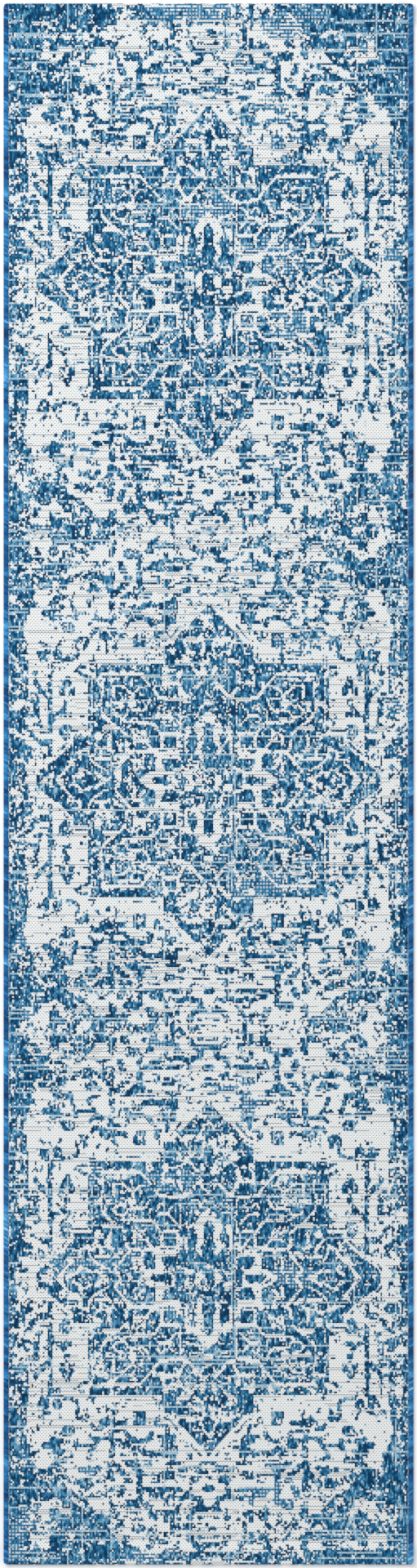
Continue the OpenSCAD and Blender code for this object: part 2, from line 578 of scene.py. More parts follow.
class QuarterDraft:
    """One quarter of the medallion pattern, as the share of blue at each crossing.

    A place is (a, c): a ends out from the middle of the rug, and c picks from the medallion's centre.
    Strokes and blobs are laid over one another in order, as a painter would.
    """

    ENDS = 126
    PICKS = 139
    GALLERY_STARTS = 100
    BORDER_STARTS = 112
    BARE = 0.03
    FAINTEST_STROKE = 0.08

    def __init__(self) -> None:
        """Draft the ground, then each group of motifs."""
        self.a, self.c = np.meshgrid(np.arange(self.ENDS) + 0.5, np.arange(self.PICKS) + 0.5)
        self.blue = np.full(self.a.shape, self.BARE)
        self._ground()
        self._border()
        self._heart()
        self._heart_petals()
        self._boxed_flower()
        self._inner_lobe()
        self._stepped_line()
        self._corner_scrolls()
        self._square()
        self._long_lozenge()
        self._apex()
        self._small_squares()
        self._shelves()
        self._gallery()
        self._cup_and_flags()
        self._side_stem()
        self._side_flowers()
        self._palmette()
        self._cloud()
        self._strengthen()

    def fill(self, blue: float, *blocks: tuple[float, float, float, float]) -> None:
        """Fill blocks, each from one end to another and from one pick to another.

        Args:
            blue: The share of blue.
            blocks: Each block's first and last end, and its first and last pick.
        """
        for a0, a1, c0, c1 in blocks:
            inside = (self.a > a0) & (self.a < a1) & (self.c > c0) & (self.c < c1)
            self.blue[inside] = blue

    def blob(self, blue: float, *blobs: tuple[float, float, float, float]) -> None:
        """Fill rounded shapes, each a centre and its reach along both directions.

        Args:
            blue: The share of blue.
            blobs: Each shape's centre and its reach, in ends and picks.
        """
        for a, c, reach_a, reach_c in blobs:
            off = np.abs((self.a - a) / reach_a) ** 2.5 + np.abs((self.c - c) / reach_c) ** 2.5
            self.blue[off < 1] = blue

    def run(self, blue: float, wide: float, *places: tuple[float, float]) -> None:
        """Draw a stroke of one width through some places.

        Args:
            blue: The share of blue.
            wide: The stroke's width.
            places: The places, in order.
        """
        for (a0, c0), (a1, c1) in zip(places, places[1:], strict=False):
            da, dc = a1 - a0, c1 - c0
            share = ((self.a - a0) * da + (self.c - c0) * dc) / max(da * da + dc * dc, 1e-9)
            share = np.clip(share, 0, 1)
            off = np.hypot(self.a - a0 - share * da, self.c - c0 - share * dc)
            self.blue[off < wide / 2] = blue

    def _strengthen(self) -> None:
        """Widen the gallery's strokes by one end, and deepen all but the faintest blues."""
        in_gallery = self.c > self.GALLERY_STARTS
        bold = np.maximum(self.blue[:, 1:], 0.85 * self.blue[:, :-1])
        self.blue[:, 1:] = np.where(in_gallery[:, 1:], bold, self.blue[:, 1:])
        exponent = np.where(in_gallery | (self.a > self.BORDER_STARTS), 0.66, 0.94)
        self.blue = np.where(self.blue > self.FAINTEST_STROKE, self.blue**exponent, self.blue)

    def _ground(self) -> None:
        """Blue within the medallion, and ivory or broken blue round it."""
        self.fill(0.90, (0, 73, 0, 65), (0, 28, 65, 76))
        self.fill(0.97, (28, 70, 15, 60))
        self.fill(0.76, (0, 14, 0, 32), (0, 14, 60, 76))
        self.run(0.88, 9, (17, 75), (9, 84), (0, 93))
        self.fill(0.88, (0, 6, 76, 92))
        self.fill(0.10, (62, 76, 112, 122), (30, 62, 130, 139), (48, 58, 69, 72))

    def _border(self) -> None:
        """The mottled strip beside the binding, and its inner stripe."""
        self.fill(0.56, (115, 127, 0, 82))
        self.fill(0.84, (112.6, 115, 47, 71), (116.4, 118, 50, 68), (121, 123, 40, 66), (114, 119, 69, 80))
        self.fill(0.92, (121, 127, 0, 15), (119, 127, 69, 81), (124.8, 127, 15, 70))
        self.fill(0.25, (113, 119.6, 0, 12), (119, 121, 60, 68), (118, 120, 72, 78))
        self.run(BLUE, 4, (121, 22), (117, 18.6), (112, 17))
        self.run(0.92, 3, (118, 14.6), (111.6, 13.2))
        self.fill(0.42, (118, 125, 33, 48), (115, 119, 24, 33))
        self.fill(0.76, (112, 118, 34, 40), (113, 118, 44, 51))
        self.fill(0.96, (115.6, 127, 80, 87))
        self.fill(0.86, (113.6, 127, 87, 92), (112, 127, 92, 100))
        self.fill(0.42, (119, 123.6, 98, 109), (118.4, 120, 82, 92), (107, 112, 96, 98.6))
        self.fill(0.80, (110, 127, 100, 112), (109, 113, 96.6, 100))
        self.run(BLUE, 4.4, (114.6, 107.4), (110.4, 105))
        self.fill(0.42, (119.6, 124, 99, 108), (113, 118, 100, 104))
        self.fill(BLUE, (113.6, 127, 110, 139), (111, 118, 117, 126))
        self.fill(0.50, (115, 117.6, 112, 116), (109, 113, 117, 124), (122, 124.4, 112, 126))
        self.fill(0.80, (112, 119.6, 126, 136))
        self.run(0.28, 2.2, (115.4, 126.4), (109.4, 130))

    def _heart(self) -> None:
        """The medallion's middle: an ivory leaf round a blue bar."""
        self.blob(IVORY, (12.4, 4, 3, 2.4), (6, 1.4, 1.8, 1.9), (1.2, 6, 2, 1.3), (5, 4.6, 1.6, 1.2))
        self.run(0.15, 1.3, (13, 8.6), (8.4, 8.8))
        self.run(0.25, 1.6, (4.4, 15), (4.6, 9))
        self.run(IVORY, 5.4, (0, 36), (3.4, 33), (6, 29.4), (5.6, 25))
        self.run(IVORY, 3.2, (5.6, 25), (4.8, 21), (6.6, 17.4), (5.8, 15))
        self.run(IVORY, 3.4, (12.4, 28.4), (13.4, 25.6))
        self.run(IVORY, 2.2, (14.2, 25), (14.2, 20), (13.4, 16.4))
        self.fill(BLUE, (0, 3.2, 9, 30.4), (0, 4.2, 16, 19.4), (7.4, 10.4, 19.6, 25))
        self.fill(IVORY, (0, 3, 42.4, 45))
        self.run(0.15, 1.5, (0, 47.8), (3, 49.8), (5.6, 53.4))
        self.run(IVORY, 2.3, (4.4, 54.6), (7.8, 51), (12, 47.2), (17, 44.7))
        self.run(0.22, 1.3, (14.4, 35.7), (10, 36.9), (6.4, 35.8))
        self.fill(0.45, (3, 6, 38.6, 41.8), (7, 12, 40.6, 42.2), (6, 16, 42.6, 43.6))

    def _heart_petals(self) -> None:
        """The ivory lines round the blue petals above the leaf."""
        self.run(IVORY, 1.5, (17.5, 45), (17.5, 27))
        self.fill(0.45, (16.4, 18.6, 18.6, 26))
        self.run(IVORY, 2, (15, 48), (17.6, 51.6), (19.4, 55), (19, 58.6))
        self.blob(IVORY, (18.2, 59, 1.7, 1.7), (26.8, 62.2, 1.9, 1.9))
        self.run(0.12, 1.5, (16, 44.8), (24, 45), (31, 45.6))
        self.run(IVORY, 2.6, (28.2, 53.4), (24.6, 54.5), (21.4, 53.6))
        self.run(IVORY, 1.1, (25, 61.4), (20.6, 61.3))
        self.run(IVORY, 1.7, (26, 61), (28, 58.6), (28.2, 56))
        self.run(IVORY, 2, (34, 50.4), (33.6, 54.2))
        self.run(0.12, 2, (14.4, 66), (11, 64.2), (9, 61.4), (5.4, 59.2))
        self.run(IVORY, 2.4, (4, 62.6), (2.6, 58.4))
        self.run(0.35, 1, (12, 58.6), (5, 58.5))
        self.run(IVORY, 1.4, (31.4, 38.4), (30.8, 41), (29, 41.4), (27, 40))
        self.run(IVORY, 1.8, (30.8, 35.6), (24.6, 35.8), (24.1, 38.6), (22, 40.4))
        self.run(IVORY, 1.4, (24.6, 35.4), (22, 32.6), (19.4, 30.2))
        self.fill(0.45, (26, 30, 32, 33), (24, 27, 29.4, 31))

    def _boxed_flower(self) -> None:
        """The small blue box in its ivory frame."""
        self.fill(IVORY, (18.4, 33.6, 12.2, 18), (16, 20.4, 15.6, 20), (27.6, 29.8, 17, 27))
        self.fill(IVORY, (18, 31, 25, 26.8), (19, 20.4, 18, 26))
        self.fill(0.85, (21, 33.4, 15.9, 16.8))
        self.fill(BLUE, (20.4, 27.6, 18.2, 24.6))
        self.fill(0.45, (21, 24.4, 18.4, 19.8))
        self.fill(BLUE, (16.4, 17.8, 16.6, 18))

    def _inner_lobe(self) -> None:
        """The ivory curve round the blue bean at the leaf's side."""
        self.run(IVORY, 4.6, (30.4, 13.6), (31.6, 9.6), (29.6, 5.6))
        self.run(IVORY, 4.2, (29, 4.4), (34, 4), (38, 1.4), (40.6, 0))
        self.run(IVORY, 2.6, (29, 4), (24.4, 4), (22.4, 2.6), (22, 1))
        self.run(IVORY, 2, (22.4, 4.8), (19, 6.2), (15.6, 6.8))
        self.run(IVORY, 1.7, (19.4, 13), (17, 10.6))
        self.run(0.45, 1, (17.4, 10.6), (17.6, 8))
        self.fill(BLUE, (22.8, 33.4, 0, 2.4), (33.4, 40, 5.2, 13.4))
        self.blob(BLUE, (23.4, 8.6, 4, 3.2))
        self.run(IVORY, 2, (46.8, 10.6), (41.4, 10.8))
        self.run(IVORY, 2.3, (46.2, 10.4), (45.6, 5.4))
        self.run(IVORY, 2.2, (43.4, 9.4), (40.4, 6.6))
        self.fill(0.20, (48, 50, 0, 3), (40, 42, 12.2, 14.6), (62, 66, 0, 2))
        self.run(IVORY, 1.7, (49, 15), (52, 12), (55, 8.6), (58.4, 5))
        self.run(IVORY, 1.8, (58.6, 5), (56, 2), (54.6, 0))
        self.blob(IVORY, (57.4, 12.7, 1.6, 1.6), (54.6, 13.9, 1.5, 1.3))
        self.fill(0.40, (50, 64, 11.6, 12.4), (43, 56, 3.4, 4.4))

    def _stepped_line(self) -> None:
        """The ivory line that steps outwards round the leaf."""
        self.fill(IVORY, (31, 49.4, 14.6, 16.8))
        self.run(IVORY, 1.8, (49, 15.8), (51, 18), (51.4, 22))
        self.run(IVORY, 2, (46, 22), (38, 21.8))
        self.run(IVORY, 1.8, (47.6, 28.4), (45.8, 25), (45.6, 19.6))
        self.run(IVORY, 1.4, (45, 28.4), (41.4, 25.6))
        self.run(IVORY, 1.4, (45, 25.4), (41, 22.6))
        self.run(IVORY, 1.7, (40, 27.6), (39.8, 24), (38.4, 21.6), (36.4, 18.6), (34.2, 16.4))
        self.run(IVORY, 2, (61.4, 25), (62, 21), (62.4, 17.4), (59.4, 16.2))
        self.run(IVORY, 3, (65, 29), (58, 29.8))
        self.run(IVORY, 1.8, (65.6, 36.4), (61.6, 32.6), (58, 30.6))
        self.run(IVORY, 1.5, (57, 29.6), (54.6, 28), (52, 26))
        self.run(IVORY, 1.7, (54, 34.8), (51.6, 32.6), (44, 32.2), (36, 32), (33, 30.4), (30.6, 26.8))
        self.fill(0.12, (44, 49.4, 32.6, 34.8))
        self.run(0.40, 1, (36.2, 32), (36.6, 39))

    def _corner_scrolls(self) -> None:
        """The scrolls that fill the square's corners."""
        self.run(IVORY, 1.6, (52, 35.4), (57.4, 35.6), (59.2, 38), (57, 40.2), (54, 41))
        self.run(IVORY, 1.5, (52, 35.2), (50, 38.2), (46, 39.2), (41, 38.6), (38.4, 40.4), (36.6, 44.8))
        self.run(0.40, 1, (37, 45.2), (46, 45.6))
        self.blob(IVORY, (47.8, 42.8, 2.8, 2.4), (53.8, 42.8, 2.3, 2.1), (62, 42.6, 2.3, 1.5))
        self.run(0.30, 1.6, (62, 42.8), (50, 42.8))
        self.run(IVORY, 1.6, (47.4, 44), (47, 47.6), (50, 49.8), (53, 52.2), (58.8, 52.6), (58.8, 46))
        self.run(IVORY, 1.6, (47, 47.6), (44.6, 50), (43, 51.6), (40.6, 51.6))
        self.blob(IVORY, (47.8, 54, 1.1, 1.6))
        self.fill(0.42, (51.4, 55.4, 46.8, 48.8), (41, 43.4, 47, 49), (38, 41, 44.8, 46))
        self.run(IVORY, 1.6, (30.4, 45.8), (34, 50.4), (37.4, 53.6), (40.4, 57), (42.4, 58.8))
        self.run(IVORY, 1.8, (26, 45.6), (30.6, 45.8))

    def _square(self) -> None:
        """The square's frame: two bands across, and the lines down its side."""
        self.fill(0.62, (44, 66, 55.4, 57.4))
        self.fill(IVORY, (42, 66.6, 57.6, 59.8), (28.6, 74, 65, 66.2))
        self.blob(IVORY, (47.4, 60, 1.8, 1.2), (53, 60, 1.8, 1), (60.4, 60, 1.4, 1.2))
        self.fill(BLUE, (28.6, 74, 60.8, 65))
        self.blob(0.50, (46, 63, 1.6, 0.9), (38, 62, 1, 1), (57, 63.4, 1, 0.8))
        self.run(IVORY, 1.4, (65.2, 35.6), (66.6, 38.6), (67, 44), (65.6, 50), (66, 55))
        self.run(0.20, 1.3, (68.8, 54.6), (66.4, 51.4))
        self.fill(0.35, (66, 71.4, 41.2, 44))
        self.fill(0.30, (72, 73.2, 27, 60))
        self.fill(0.84, (73.2, 74.8, 27, 58.4))
        self.fill(IVORY, (73.2, 75, 31.8, 33.4), (72, 77, 58.6, 60.2))

    def _long_lozenge(self) -> None:
        """The long lozenge that points to the rug's side."""
        self.fill(0.90, (71, 84, 8, 25), (62, 90, 0, 12))
        self.run(0.92, 8, (100, 1.6), (90, 8.6), (82, 15))
        self.run(IVORY, 2, (112, 0), (104, 5.8), (97, 10.2), (91, 14.4), (86.4, 18.6), (86, 22), (87.6, 25))
        self.run(0.45, 1.1, (97, 13.4), (91.4, 17.4), (88, 20.4))
        self.run(BLUE, 4.4, (106, 1.6), (100, 6.2), (94, 9.6), (89, 13.6), (85.4, 17.4))
        self.run(IVORY, 1.4, (84.6, 15.4), (80, 15.8), (76.6, 17.2), (75, 18))
        self.run(IVORY, 1.5, (75, 18), (74.4, 14.4), (73.2, 11.6), (70.6, 9.4), (66, 6.6), (63, 5.4))
        self.run(IVORY, 1.5, (80.2, 15.2), (80.1, 11.4), (87.6, 11.2))
        self.run(IVORY, 2.2, (86.6, 10.4), (84.4, 9.4))
        self.run(IVORY, 1.5, (93.4, 0.6), (90, 4), (87, 7.6), (84.6, 9.2))
        self.run(IVORY, 1.6, (80.6, 6.2), (76, 5.4), (73, 3.4))
        self.run(IVORY, 1.7, (84, 2), (80.4, 3.6), (80, 6))
        self.run(IVORY, 2, (70, 3.8), (66, 1.2), (63, 0))
        self.blob(0.30, (97.4, 2.4, 1.4, 2), (102, 1.2, 3, 1), (77.4, 0, 1.2, 1))
        self.blob(IVORY, (68.6, 24.2, 2.2, 2.6))
        self.run(IVORY, 1.8, (70.6, 20.4), (68.6, 17.8), (64.6, 17.4), (62, 18.6))
        self.run(IVORY, 1.9, (70, 12.2), (62, 12.2))
        self.run(IVORY, 1.9, (67.4, 12.4), (67.4, 16.8))
        self.fill(IVORY, (73, 88.6, 25.2, 26.6))
        self.fill(0.84, (74.6, 85.4, 26.8, 27.8))
        self.fill(0.60, (74, 79, 30.6, 31.6), (78, 79.6, 34, 36))

    def _apex(self) -> None:
        """The small lozenge that stands on the square, on the rug's middle line."""
        self.fill(0.12, (12, 20, 65.4, 67.6), (27.8, 30, 64.8, 72), (8.4, 13.6, 70, 71.6))
        self.fill(0.55, (14, 20, 68.4, 70.4), (0, 3, 65.6, 68))
        self.blob(BLUE, (24, 67.6, 3.2, 2.4))
        self.run(0.15, 1.6, (14, 75.6), (12.4, 70))
        self.run(IVORY, 1.5, (3.4, 69.6), (3, 76.4))
        self.blob(0.08, (11, 78.4, 3.2, 1.7), (5.6, 78.2, 3.2, 1.4), (15.4, 76.8, 2.2, 1))
        self.run(0.18, 1.4, (5.4, 80.6), (3.4, 82), (3, 85), (0, 87.4))
        self.fill(BLUE, (6, 18.6, 80.2, 83), (15, 26.6, 71.6, 75.6))
        self.fill(0.60, (6, 10, 84, 86), (0, 3, 88, 92))
        self.run(IVORY, 2.3, (27, 76.4), (22.6, 78.6), (17, 83.6), (10.6, 89.6), (4.6, 95.4), (0.6, 99.6))
        self.run(0.84, 1.2, (27, 77.8), (24, 79), (21, 82), (17.4, 86.6))
        self.run(0.70, 1.2, (9.6, 94.4), (4.6, 98.8))
        self.blob(0.85, (11.4, 98.8, 1.8, 2))
        self.fill(0.55, (12, 18.6, 93, 95), (0, 2, 97, 98.6))
        self.blob(0.60, (16.6, 90.6, 1.4, 0.9), (13.6, 91.6, 0.9, 0.9))

    def _small_squares(self) -> None:
        """The small ivory-edged squares, and the blossoms beside them."""
        self.fill(BLUE, (39.4, 47.2, 74.4, 82.2))
        self.blob(0.45, (42.8, 78.8, 1.8, 1.4))
        self.fill(0.42, (30.2, 31.2, 69, 77))
        self.fill(0.50, (32, 56, 66.8, 67.8), (58, 64, 70, 77))
        self.run(0.80, 1.5, (57.6, 70), (57, 74.6), (58.6, 77.2))
        self.blob(IVORY, (61.6, 75, 1.3, 1.6), (60, 71.4, 1, 1.4))
        self.blob(BLUE, (32.2, 79.2, 2, 1.9))
        self.fill(0.72, (25, 34.2, 80.8, 83.4))
        self.run(BLUE, 4.2, (66, 80.2), (58, 80.6))
        self.run(BLUE, 2.8, (58, 80.8), (51.6, 80.4))
        self.blob(0.80, (50.8, 78.6, 0.9, 0.9))
        self.fill(0.85, (66.8, 69.8, 71.8, 75.2))
        self.blob(0.35, (67.6, 73.4, 0.7, 1))

    def _shelves(self) -> None:
        """The arches, arms and shelves above the squares."""
        self.run(BLUE, 2.8, (35.4, 86.2), (37, 89.4), (42, 90.6), (46, 89.8), (50, 88), (52, 85.4))
        self.run(0.92, 2, (52, 85.2), (62, 85))
        self.run(0.84, 1.8, (46, 91), (52, 90), (60, 89.8))
        self.run(0.85, 3, (60.6, 90), (60.2, 86.6))
        self.fill(BLUE, (19.4, 29.4, 93.4, 99.6), (19.6, 29.4, 87.4, 92), (24, 26.6, 83, 88))
        self.fill(0.60, (19.6, 30.4, 91.8, 93.6))
        self.fill(0.95, (20.2, 23.4, 99, 104), (17, 26.4, 102.4, 104.2), (29, 31.6, 87, 88.6))
        self.run(BLUE, 3.4, (29, 97), (36, 98), (40, 97), (43, 94.8), (46, 94.8))
        self.run(0.86, 2.6, (46, 97.4), (53.6, 98.2))
        self.run(0.25, 0.9, (43, 98.6), (54, 96.6))
        self.blob(0.84, (52, 93, 3.6, 1.9))
        self.fill(BLUE, (57.8, 61.6, 94.8, 99.6))
        self.fill(0.62, (58.4, 62, 91, 95))
        self.run(0.70, 1, (53.6, 101.8), (31.4, 101.8))
        self.run(0.80, 1.3, (45, 97.6), (44.6, 102))

    def _gallery(self) -> None:
        """The stems and bands between two medallions."""
        self.run(BLUE, 3, (50, 103), (45, 104.6))
        self.blob(BLUE, (43, 105.4, 4.2, 2.5))
        self.run(0.92, 2.2, (41, 103.8), (36, 103.6))
        self.run(BLUE, 2.8, (42.4, 106), (42.4, 118), (41.8, 124.2))
        self.run(BLUE, 3.2, (43, 117.6), (30, 117.8), (17.8, 117.6))
        self.blob(BLUE, (33, 119, 3, 3))
        self.blob(0.60, (28.6, 121, 2, 1.7))
        self.run(0.88, 1.8, (41, 109.4), (30.6, 109.4), (30.4, 113.6), (33.2, 113.6))
        self.fill(0.90, (21, 27.6, 107, 112))
        self.fill(0.75, (16.6, 21, 108.6, 110.4), (9.8, 12.4, 111, 114.8))
        self.fill(0.75, (5, 9, 104, 106), (6, 9, 111, 113.6))
        self.blob(0.10, (22.6, 109.4, 1, 1), (24.4, 107, 1, 0.8))
        self.run(0.84, 1.8, (17, 105.6), (10, 104.8))
        self.run(0.88, 1.7, (5, 106), (4.4, 103.4), (1, 102.6))
        self.run(0.75, 1.3, (17, 110), (10, 111.2), (4, 110.4), (0, 111))
        self.fill(0.45, (0, 18, 106.4, 107.6), (12, 20, 112, 113.4), (0, 6, 107.6, 109))
        self.run(0.86, 1.8, (53, 109), (49.4, 109.2))
        self.blob(0.95, (49.4, 112.8, 2.6, 1.6), (54, 107, 1.9, 1.5), (57.4, 104.6, 3, 1.8))
        self.run(0.94, 3.2, (60, 103), (61, 108), (59.6, 112.6))
        self.run(BLUE, 3.4, (54.6, 120.4), (52.8, 116.4))
        self.fill(0.60, (57.6, 60.4, 113, 119), (58, 62.4, 117, 119), (60, 66, 120.6, 122.4))

    def _cup_and_flags(self) -> None:
        """The cup on the middle line, and the flags beside it."""
        self.blob(BLUE, (0.4, 117, 2.6, 1.9))
        self.run(BLUE, 2.9, (17, 122.6), (12, 120.8), (8, 122.8), (5.4, 122.6))
        self.run(0.94, 2.6, (12.4, 121), (11.6, 117))
        self.run(0.92, 2.3, (26.4, 126), (26, 123), (23.4, 121.2))
        self.fill(0.90, (18.4, 20.8, 121, 124.2))
        self.run(0.70, 1.2, (24, 126.6), (20.6, 126))
        self.run(0.80, 1.7, (20, 129), (17, 125.4))
        self.run(BLUE, 2.8, (32, 130.4), (26, 130.2), (19.4, 130))
        self.blob(BLUE, (36.2, 127.8, 2.4, 1.7))
        self.run(0.94, 2.6, (36.4, 128.4), (34.6, 133))
        self.run(0.92, 2.8, (33, 133.6), (31.6, 131))
        self.run(0.92, 2.2, (26, 131), (26, 134.8))
        self.run(0.94, 2.8, (22, 131), (22, 138))
        self.blob(0.85, (17.6, 134, 1, 1.5))
        self.blob(0.86, (49.2, 125.6, 2.8, 3), (45, 125.6, 1.9, 2.8))
        self.run(0.84, 2.4, (60, 125.4), (59.4, 130), (59, 132.6))
        self.blob(0.94, (58.6, 127.4, 1.9, 1.7), (59, 132.8, 2.3, 1.7))
        self.fill(0.82, (60, 66, 133, 138))
        self.run(BLUE, 3.4, (11, 133), (9.6, 129.4), (5, 127.6), (1.2, 128.4))
        self.run(0.88, 2.4, (4.6, 127), (4.6, 123.6))
        self.run(0.90, 1.5, (5, 133), (0, 132.4))
        self.fill(0.25, (0, 20, 136, 139), (34, 60, 136, 139), (37, 41, 123.6, 126))

    def _side_stem(self) -> None:
        """The upright stem in the side field, with its branches."""
        self.fill(BLUE, (96.8, 99.6, 26, 52))
        self.fill(0.90, (97, 99.8, 52, 66), (97, 99.6, 12.6, 19))
        self.fill(0.60, (97, 99.2, 19, 26), (90, 104, 65, 66.4))
        self.blob(0.95, (97.8, 62.6, 2.4, 1.9), (97.6, 33.4, 2.2, 1.8))
        self.run(BLUE, 3.6, (108.6, 54.8), (104.6, 51), (100.4, 47.2))
        self.fill(0.80, (99.6, 101, 53, 56))
        self.run(BLUE, 3.6, (113, 44.6), (106.4, 44))
        self.fill(BLUE, (105, 110, 35, 42))
        self.run(0.80, 2, (111, 48), (107.6, 47.4))
        self.run(0.84, 2, (109, 35.6), (116, 36), (116, 39.6), (112.6, 40.6))
        self.blob(IVORY, (111.8, 38.4, 1.6, 1.1), (105.8, 42, 1.4, 0.7))
        self.run(0.92, 2.6, (105.8, 34.4), (105.4, 30))
        self.run(0.80, 2, (109.6, 31), (104, 30))
        self.fill(0.84, (99, 105.4, 25.6, 26.8))
        self.run(0.90, 2.2, (116, 30), (110, 26.4))
        self.run(0.75, 2.2, (112, 24.6), (107, 22.2))
        self.blob(BLUE, (101.8, 21, 5, 1.7))
        self.run(0.80, 1.4, (108.3, 13.4), (108.3, 8.6))
        self.run(0.75, 1.3, (106, 17), (105.8, 12.6), (103, 11.4), (101.2, 13), (103, 15), (105, 15.4))
        self.run(0.70, 1.5, (108.4, 4.8), (106, 7.6))
        self.run(0.92, 2.5, (96.6, 36), (91, 36.8))

    def _side_flowers(self) -> None:
        """The flowers, hooks and dashes between the stem and the square."""
        self.blob(BLUE, (88.6, 28.8, 3.7, 2.5), (88.6, 24.6, 2.6, 2.2))
        self.run(0.94, 2.6, (91.8, 29), (92, 26.4), (89.6, 23.6))
        self.blob(IVORY, (89.4, 26.7, 1.1, 1), (86.6, 26.6, 0.9, 1))
        self.blob(BLUE, (87.4, 36.4, 2.5, 1.9), (88, 44, 2.1, 1.9))
        self.run(0.90, 2.4, (92, 37.6), (89, 40.6), (87.8, 43.6))
        self.blob(BLUE, (88, 49.8, 5.4, 3.7), (88, 53.6, 2.8, 2.4))
        self.blob(IVORY, (88.2, 49, 1.2, 1.7), (90.4, 46, 1.5, 1.1), (85.6, 45.8, 2, 1))
        self.blob(0.70, (87.4, 57, 1.7, 1), (109, 59.8, 1.7, 1.4))
        self.fill(0.65, (103, 104.4, 60, 64.4), (92, 93, 60, 64.4), (108, 109.4, 60, 65))
        self.fill(0.62, (75, 80, 47.6, 49.2), (76, 80, 44.4, 45.2))
        self.run(0.72, 1.3, (75, 63), (81, 62.8), (83, 61))
        self.run(0.90, 1.7, (83.6, 60.4), (80.4, 60.6), (78.6, 58.6), (75.6, 57.8))
        self.fill(0.80, (70, 75, 66.2, 67.4), (70.6, 72, 66, 70))
        self.blob(BLUE, (101.8, 69.2, 3.9, 3.4), (94, 70, 3.2, 3.2))
        self.run(BLUE, 2.5, (106.6, 71), (101, 70.6))
        self.fill(0.15, (97.4, 98.8, 66.6, 74))
        self.run(BLUE, 2.2, (91, 67.2), (86, 66.8), (82, 68.4), (80.6, 71), (82, 74.6))
        self.run(0.78, 2, (104.6, 76.8), (101, 74.6), (98.6, 75))
        self.run(0.80, 1.8, (92, 76.8), (94.6, 73.6))
        self.blob(BLUE, (76.8, 77.4, 2.9, 2.1))
        self.run(0.94, 2.6, (82.2, 76.6), (80, 78.4), (76, 78.6))
        self.fill(0.60, (78.6, 82, 74, 77), (75, 77.6, 71.6, 74.6))

    def _palmette(self) -> None:
        """The large leaf in the side field, and the arch that joins it to the gallery."""
        self.blob(BLUE, (87.2, 84.8, 4.3, 3))
        self.run(BLUE, 4.6, (97, 90.4), (92, 91.4))
        self.run(BLUE, 3, (92, 88), (90, 86))
        self.blob(0.92, (101, 93, 2.8, 1.7), (95.4, 97, 4.2, 3.3), (97, 93.6, 3, 1.6))
        self.fill(BLUE, (83.6, 95.6, 99.4, 102.8), (91, 95.6, 102, 105))
        self.run(0.94, 2.5, (84.8, 101), (84.8, 96), (82.8, 94.4), (82.4, 90))
        self.run(0.88, 1.8, (86.6, 90.8), (82, 90.2))
        self.fill(0.80, (89, 94, 92, 94), (93, 97.6, 103, 106.4), (86, 88.6, 90.4, 91.6), (89, 91.6, 95, 99))
        self.run(IVORY, 2, (88.8, 98), (86, 95.6))
        self.run(0.10, 1.2, (93, 99), (90, 99))
        self.blob(IVORY, (88, 93, 4, 1.2), (88.6, 89, 1.6, 1.3), (91.6, 88.2, 1.4, 0.8))
        self.blob(0.60, (95.4, 85.4, 1, 1.7), (97.4, 79.6, 0.9, 0.9))
        self.run(0.88, 2, (84, 93.4), (78, 93), (71, 92.8))
        self.run(0.95, 2.4, (73.8, 97), (71.4, 94.6), (69.6, 91.2))
        self.blob(BLUE, (74.4, 98.6, 1.9, 2.1))
        self.run(0.95, 2.2, (74, 87.4), (71.6, 89.6), (66, 89.4), (62, 88.6))
        self.run(BLUE, 2.8, (72.2, 81.8), (70.4, 84), (67, 83.6), (64, 81.4))
        self.blob(BLUE, (63.6, 80.2, 4.4, 2.8))
        self.run(0.60, 1.2, (72.6, 97), (71.6, 101), (67, 101.2))

    def _cloud(self) -> None:
        """The broken cloud between two medallions, beside the blue of the border."""
        self.fill(0.70, (88, 113, 112, 124), (88, 104.6, 105.6, 112), (84, 90, 119, 128))
        self.fill(0.42, (60, 118, 134, 139), (86, 101, 112, 114.4))
        self.fill(0.42, (105, 108, 108, 112), (95, 97.4, 105, 111))
        self.fill(BLUE, (97.6, 103.6, 119.6, 123.6), (91, 98, 119, 122.2), (100, 110, 116, 117.8))
        self.fill(0.88, (98.6, 104, 106, 110.6), (107.6, 112, 108.6, 113))
        self.fill(0.88, (65, 69, 134, 137.4), (82, 88, 136, 139))
        self.fill(0.30, (101, 108, 118, 119.2), (108, 111, 119, 124))
        self.blob(BLUE, (88.8, 110.3, 1.9, 1.7), (106.6, 127.3, 2.9, 2.4))
        self.run(0.92, 2.5, (90, 118), (84.6, 119.6), (79.6, 121.4))
        self.run(IVORY, 5, (103.2, 129.4), (99.8, 126.8))
        self.run(IVORY, 2.8, (100.4, 125.4), (95, 123.2), (91.4, 125.4))
        self.run(IVORY, 2.8, (94.6, 127), (89.4, 129.8))
        self.fill(0.16, (93, 99, 124, 127.6))
        self.blob(BLUE, (95.4, 131.2, 2.7, 3.7), (91.8, 133.4, 3.6, 2.6))
        self.run(0.92, 2.5, (79.6, 122), (75.4, 126), (71.4, 129.6))
        self.run(BLUE, 3.3, (75.4, 132), (69, 132.4), (62, 133.6))
        self.blob(0.40, (72.4, 131.4, 1.5, 0.9))
        self.run(0.78, 1.8, (90, 132), (82, 133.2), (76, 132.6))
        self.fill(0.30, (76, 84, 124, 131), (82, 86, 110, 114))
        self.run(0.60, 1.2, (62, 121.8), (76, 121.8))
        self.run(0.86, 2, (84, 131), (82.6, 127))
        self.blob(0.92, (66.4, 112.8, 2.3, 1.5), (81, 113.4, 2.2, 1.7))
        self.fill(0.74, (72, 78.8, 111, 117), (62, 64.6, 109, 112), (76, 80, 105, 108))
        self.run(IVORY, 2.4, (84.4, 114.2), (81.8, 118.8))
        self.run(BLUE, 4.6, (74.4, 106.6), (71.4, 107.8))
        self.run(0.95, 2.8, (71.4, 107), (67.6, 105.6))


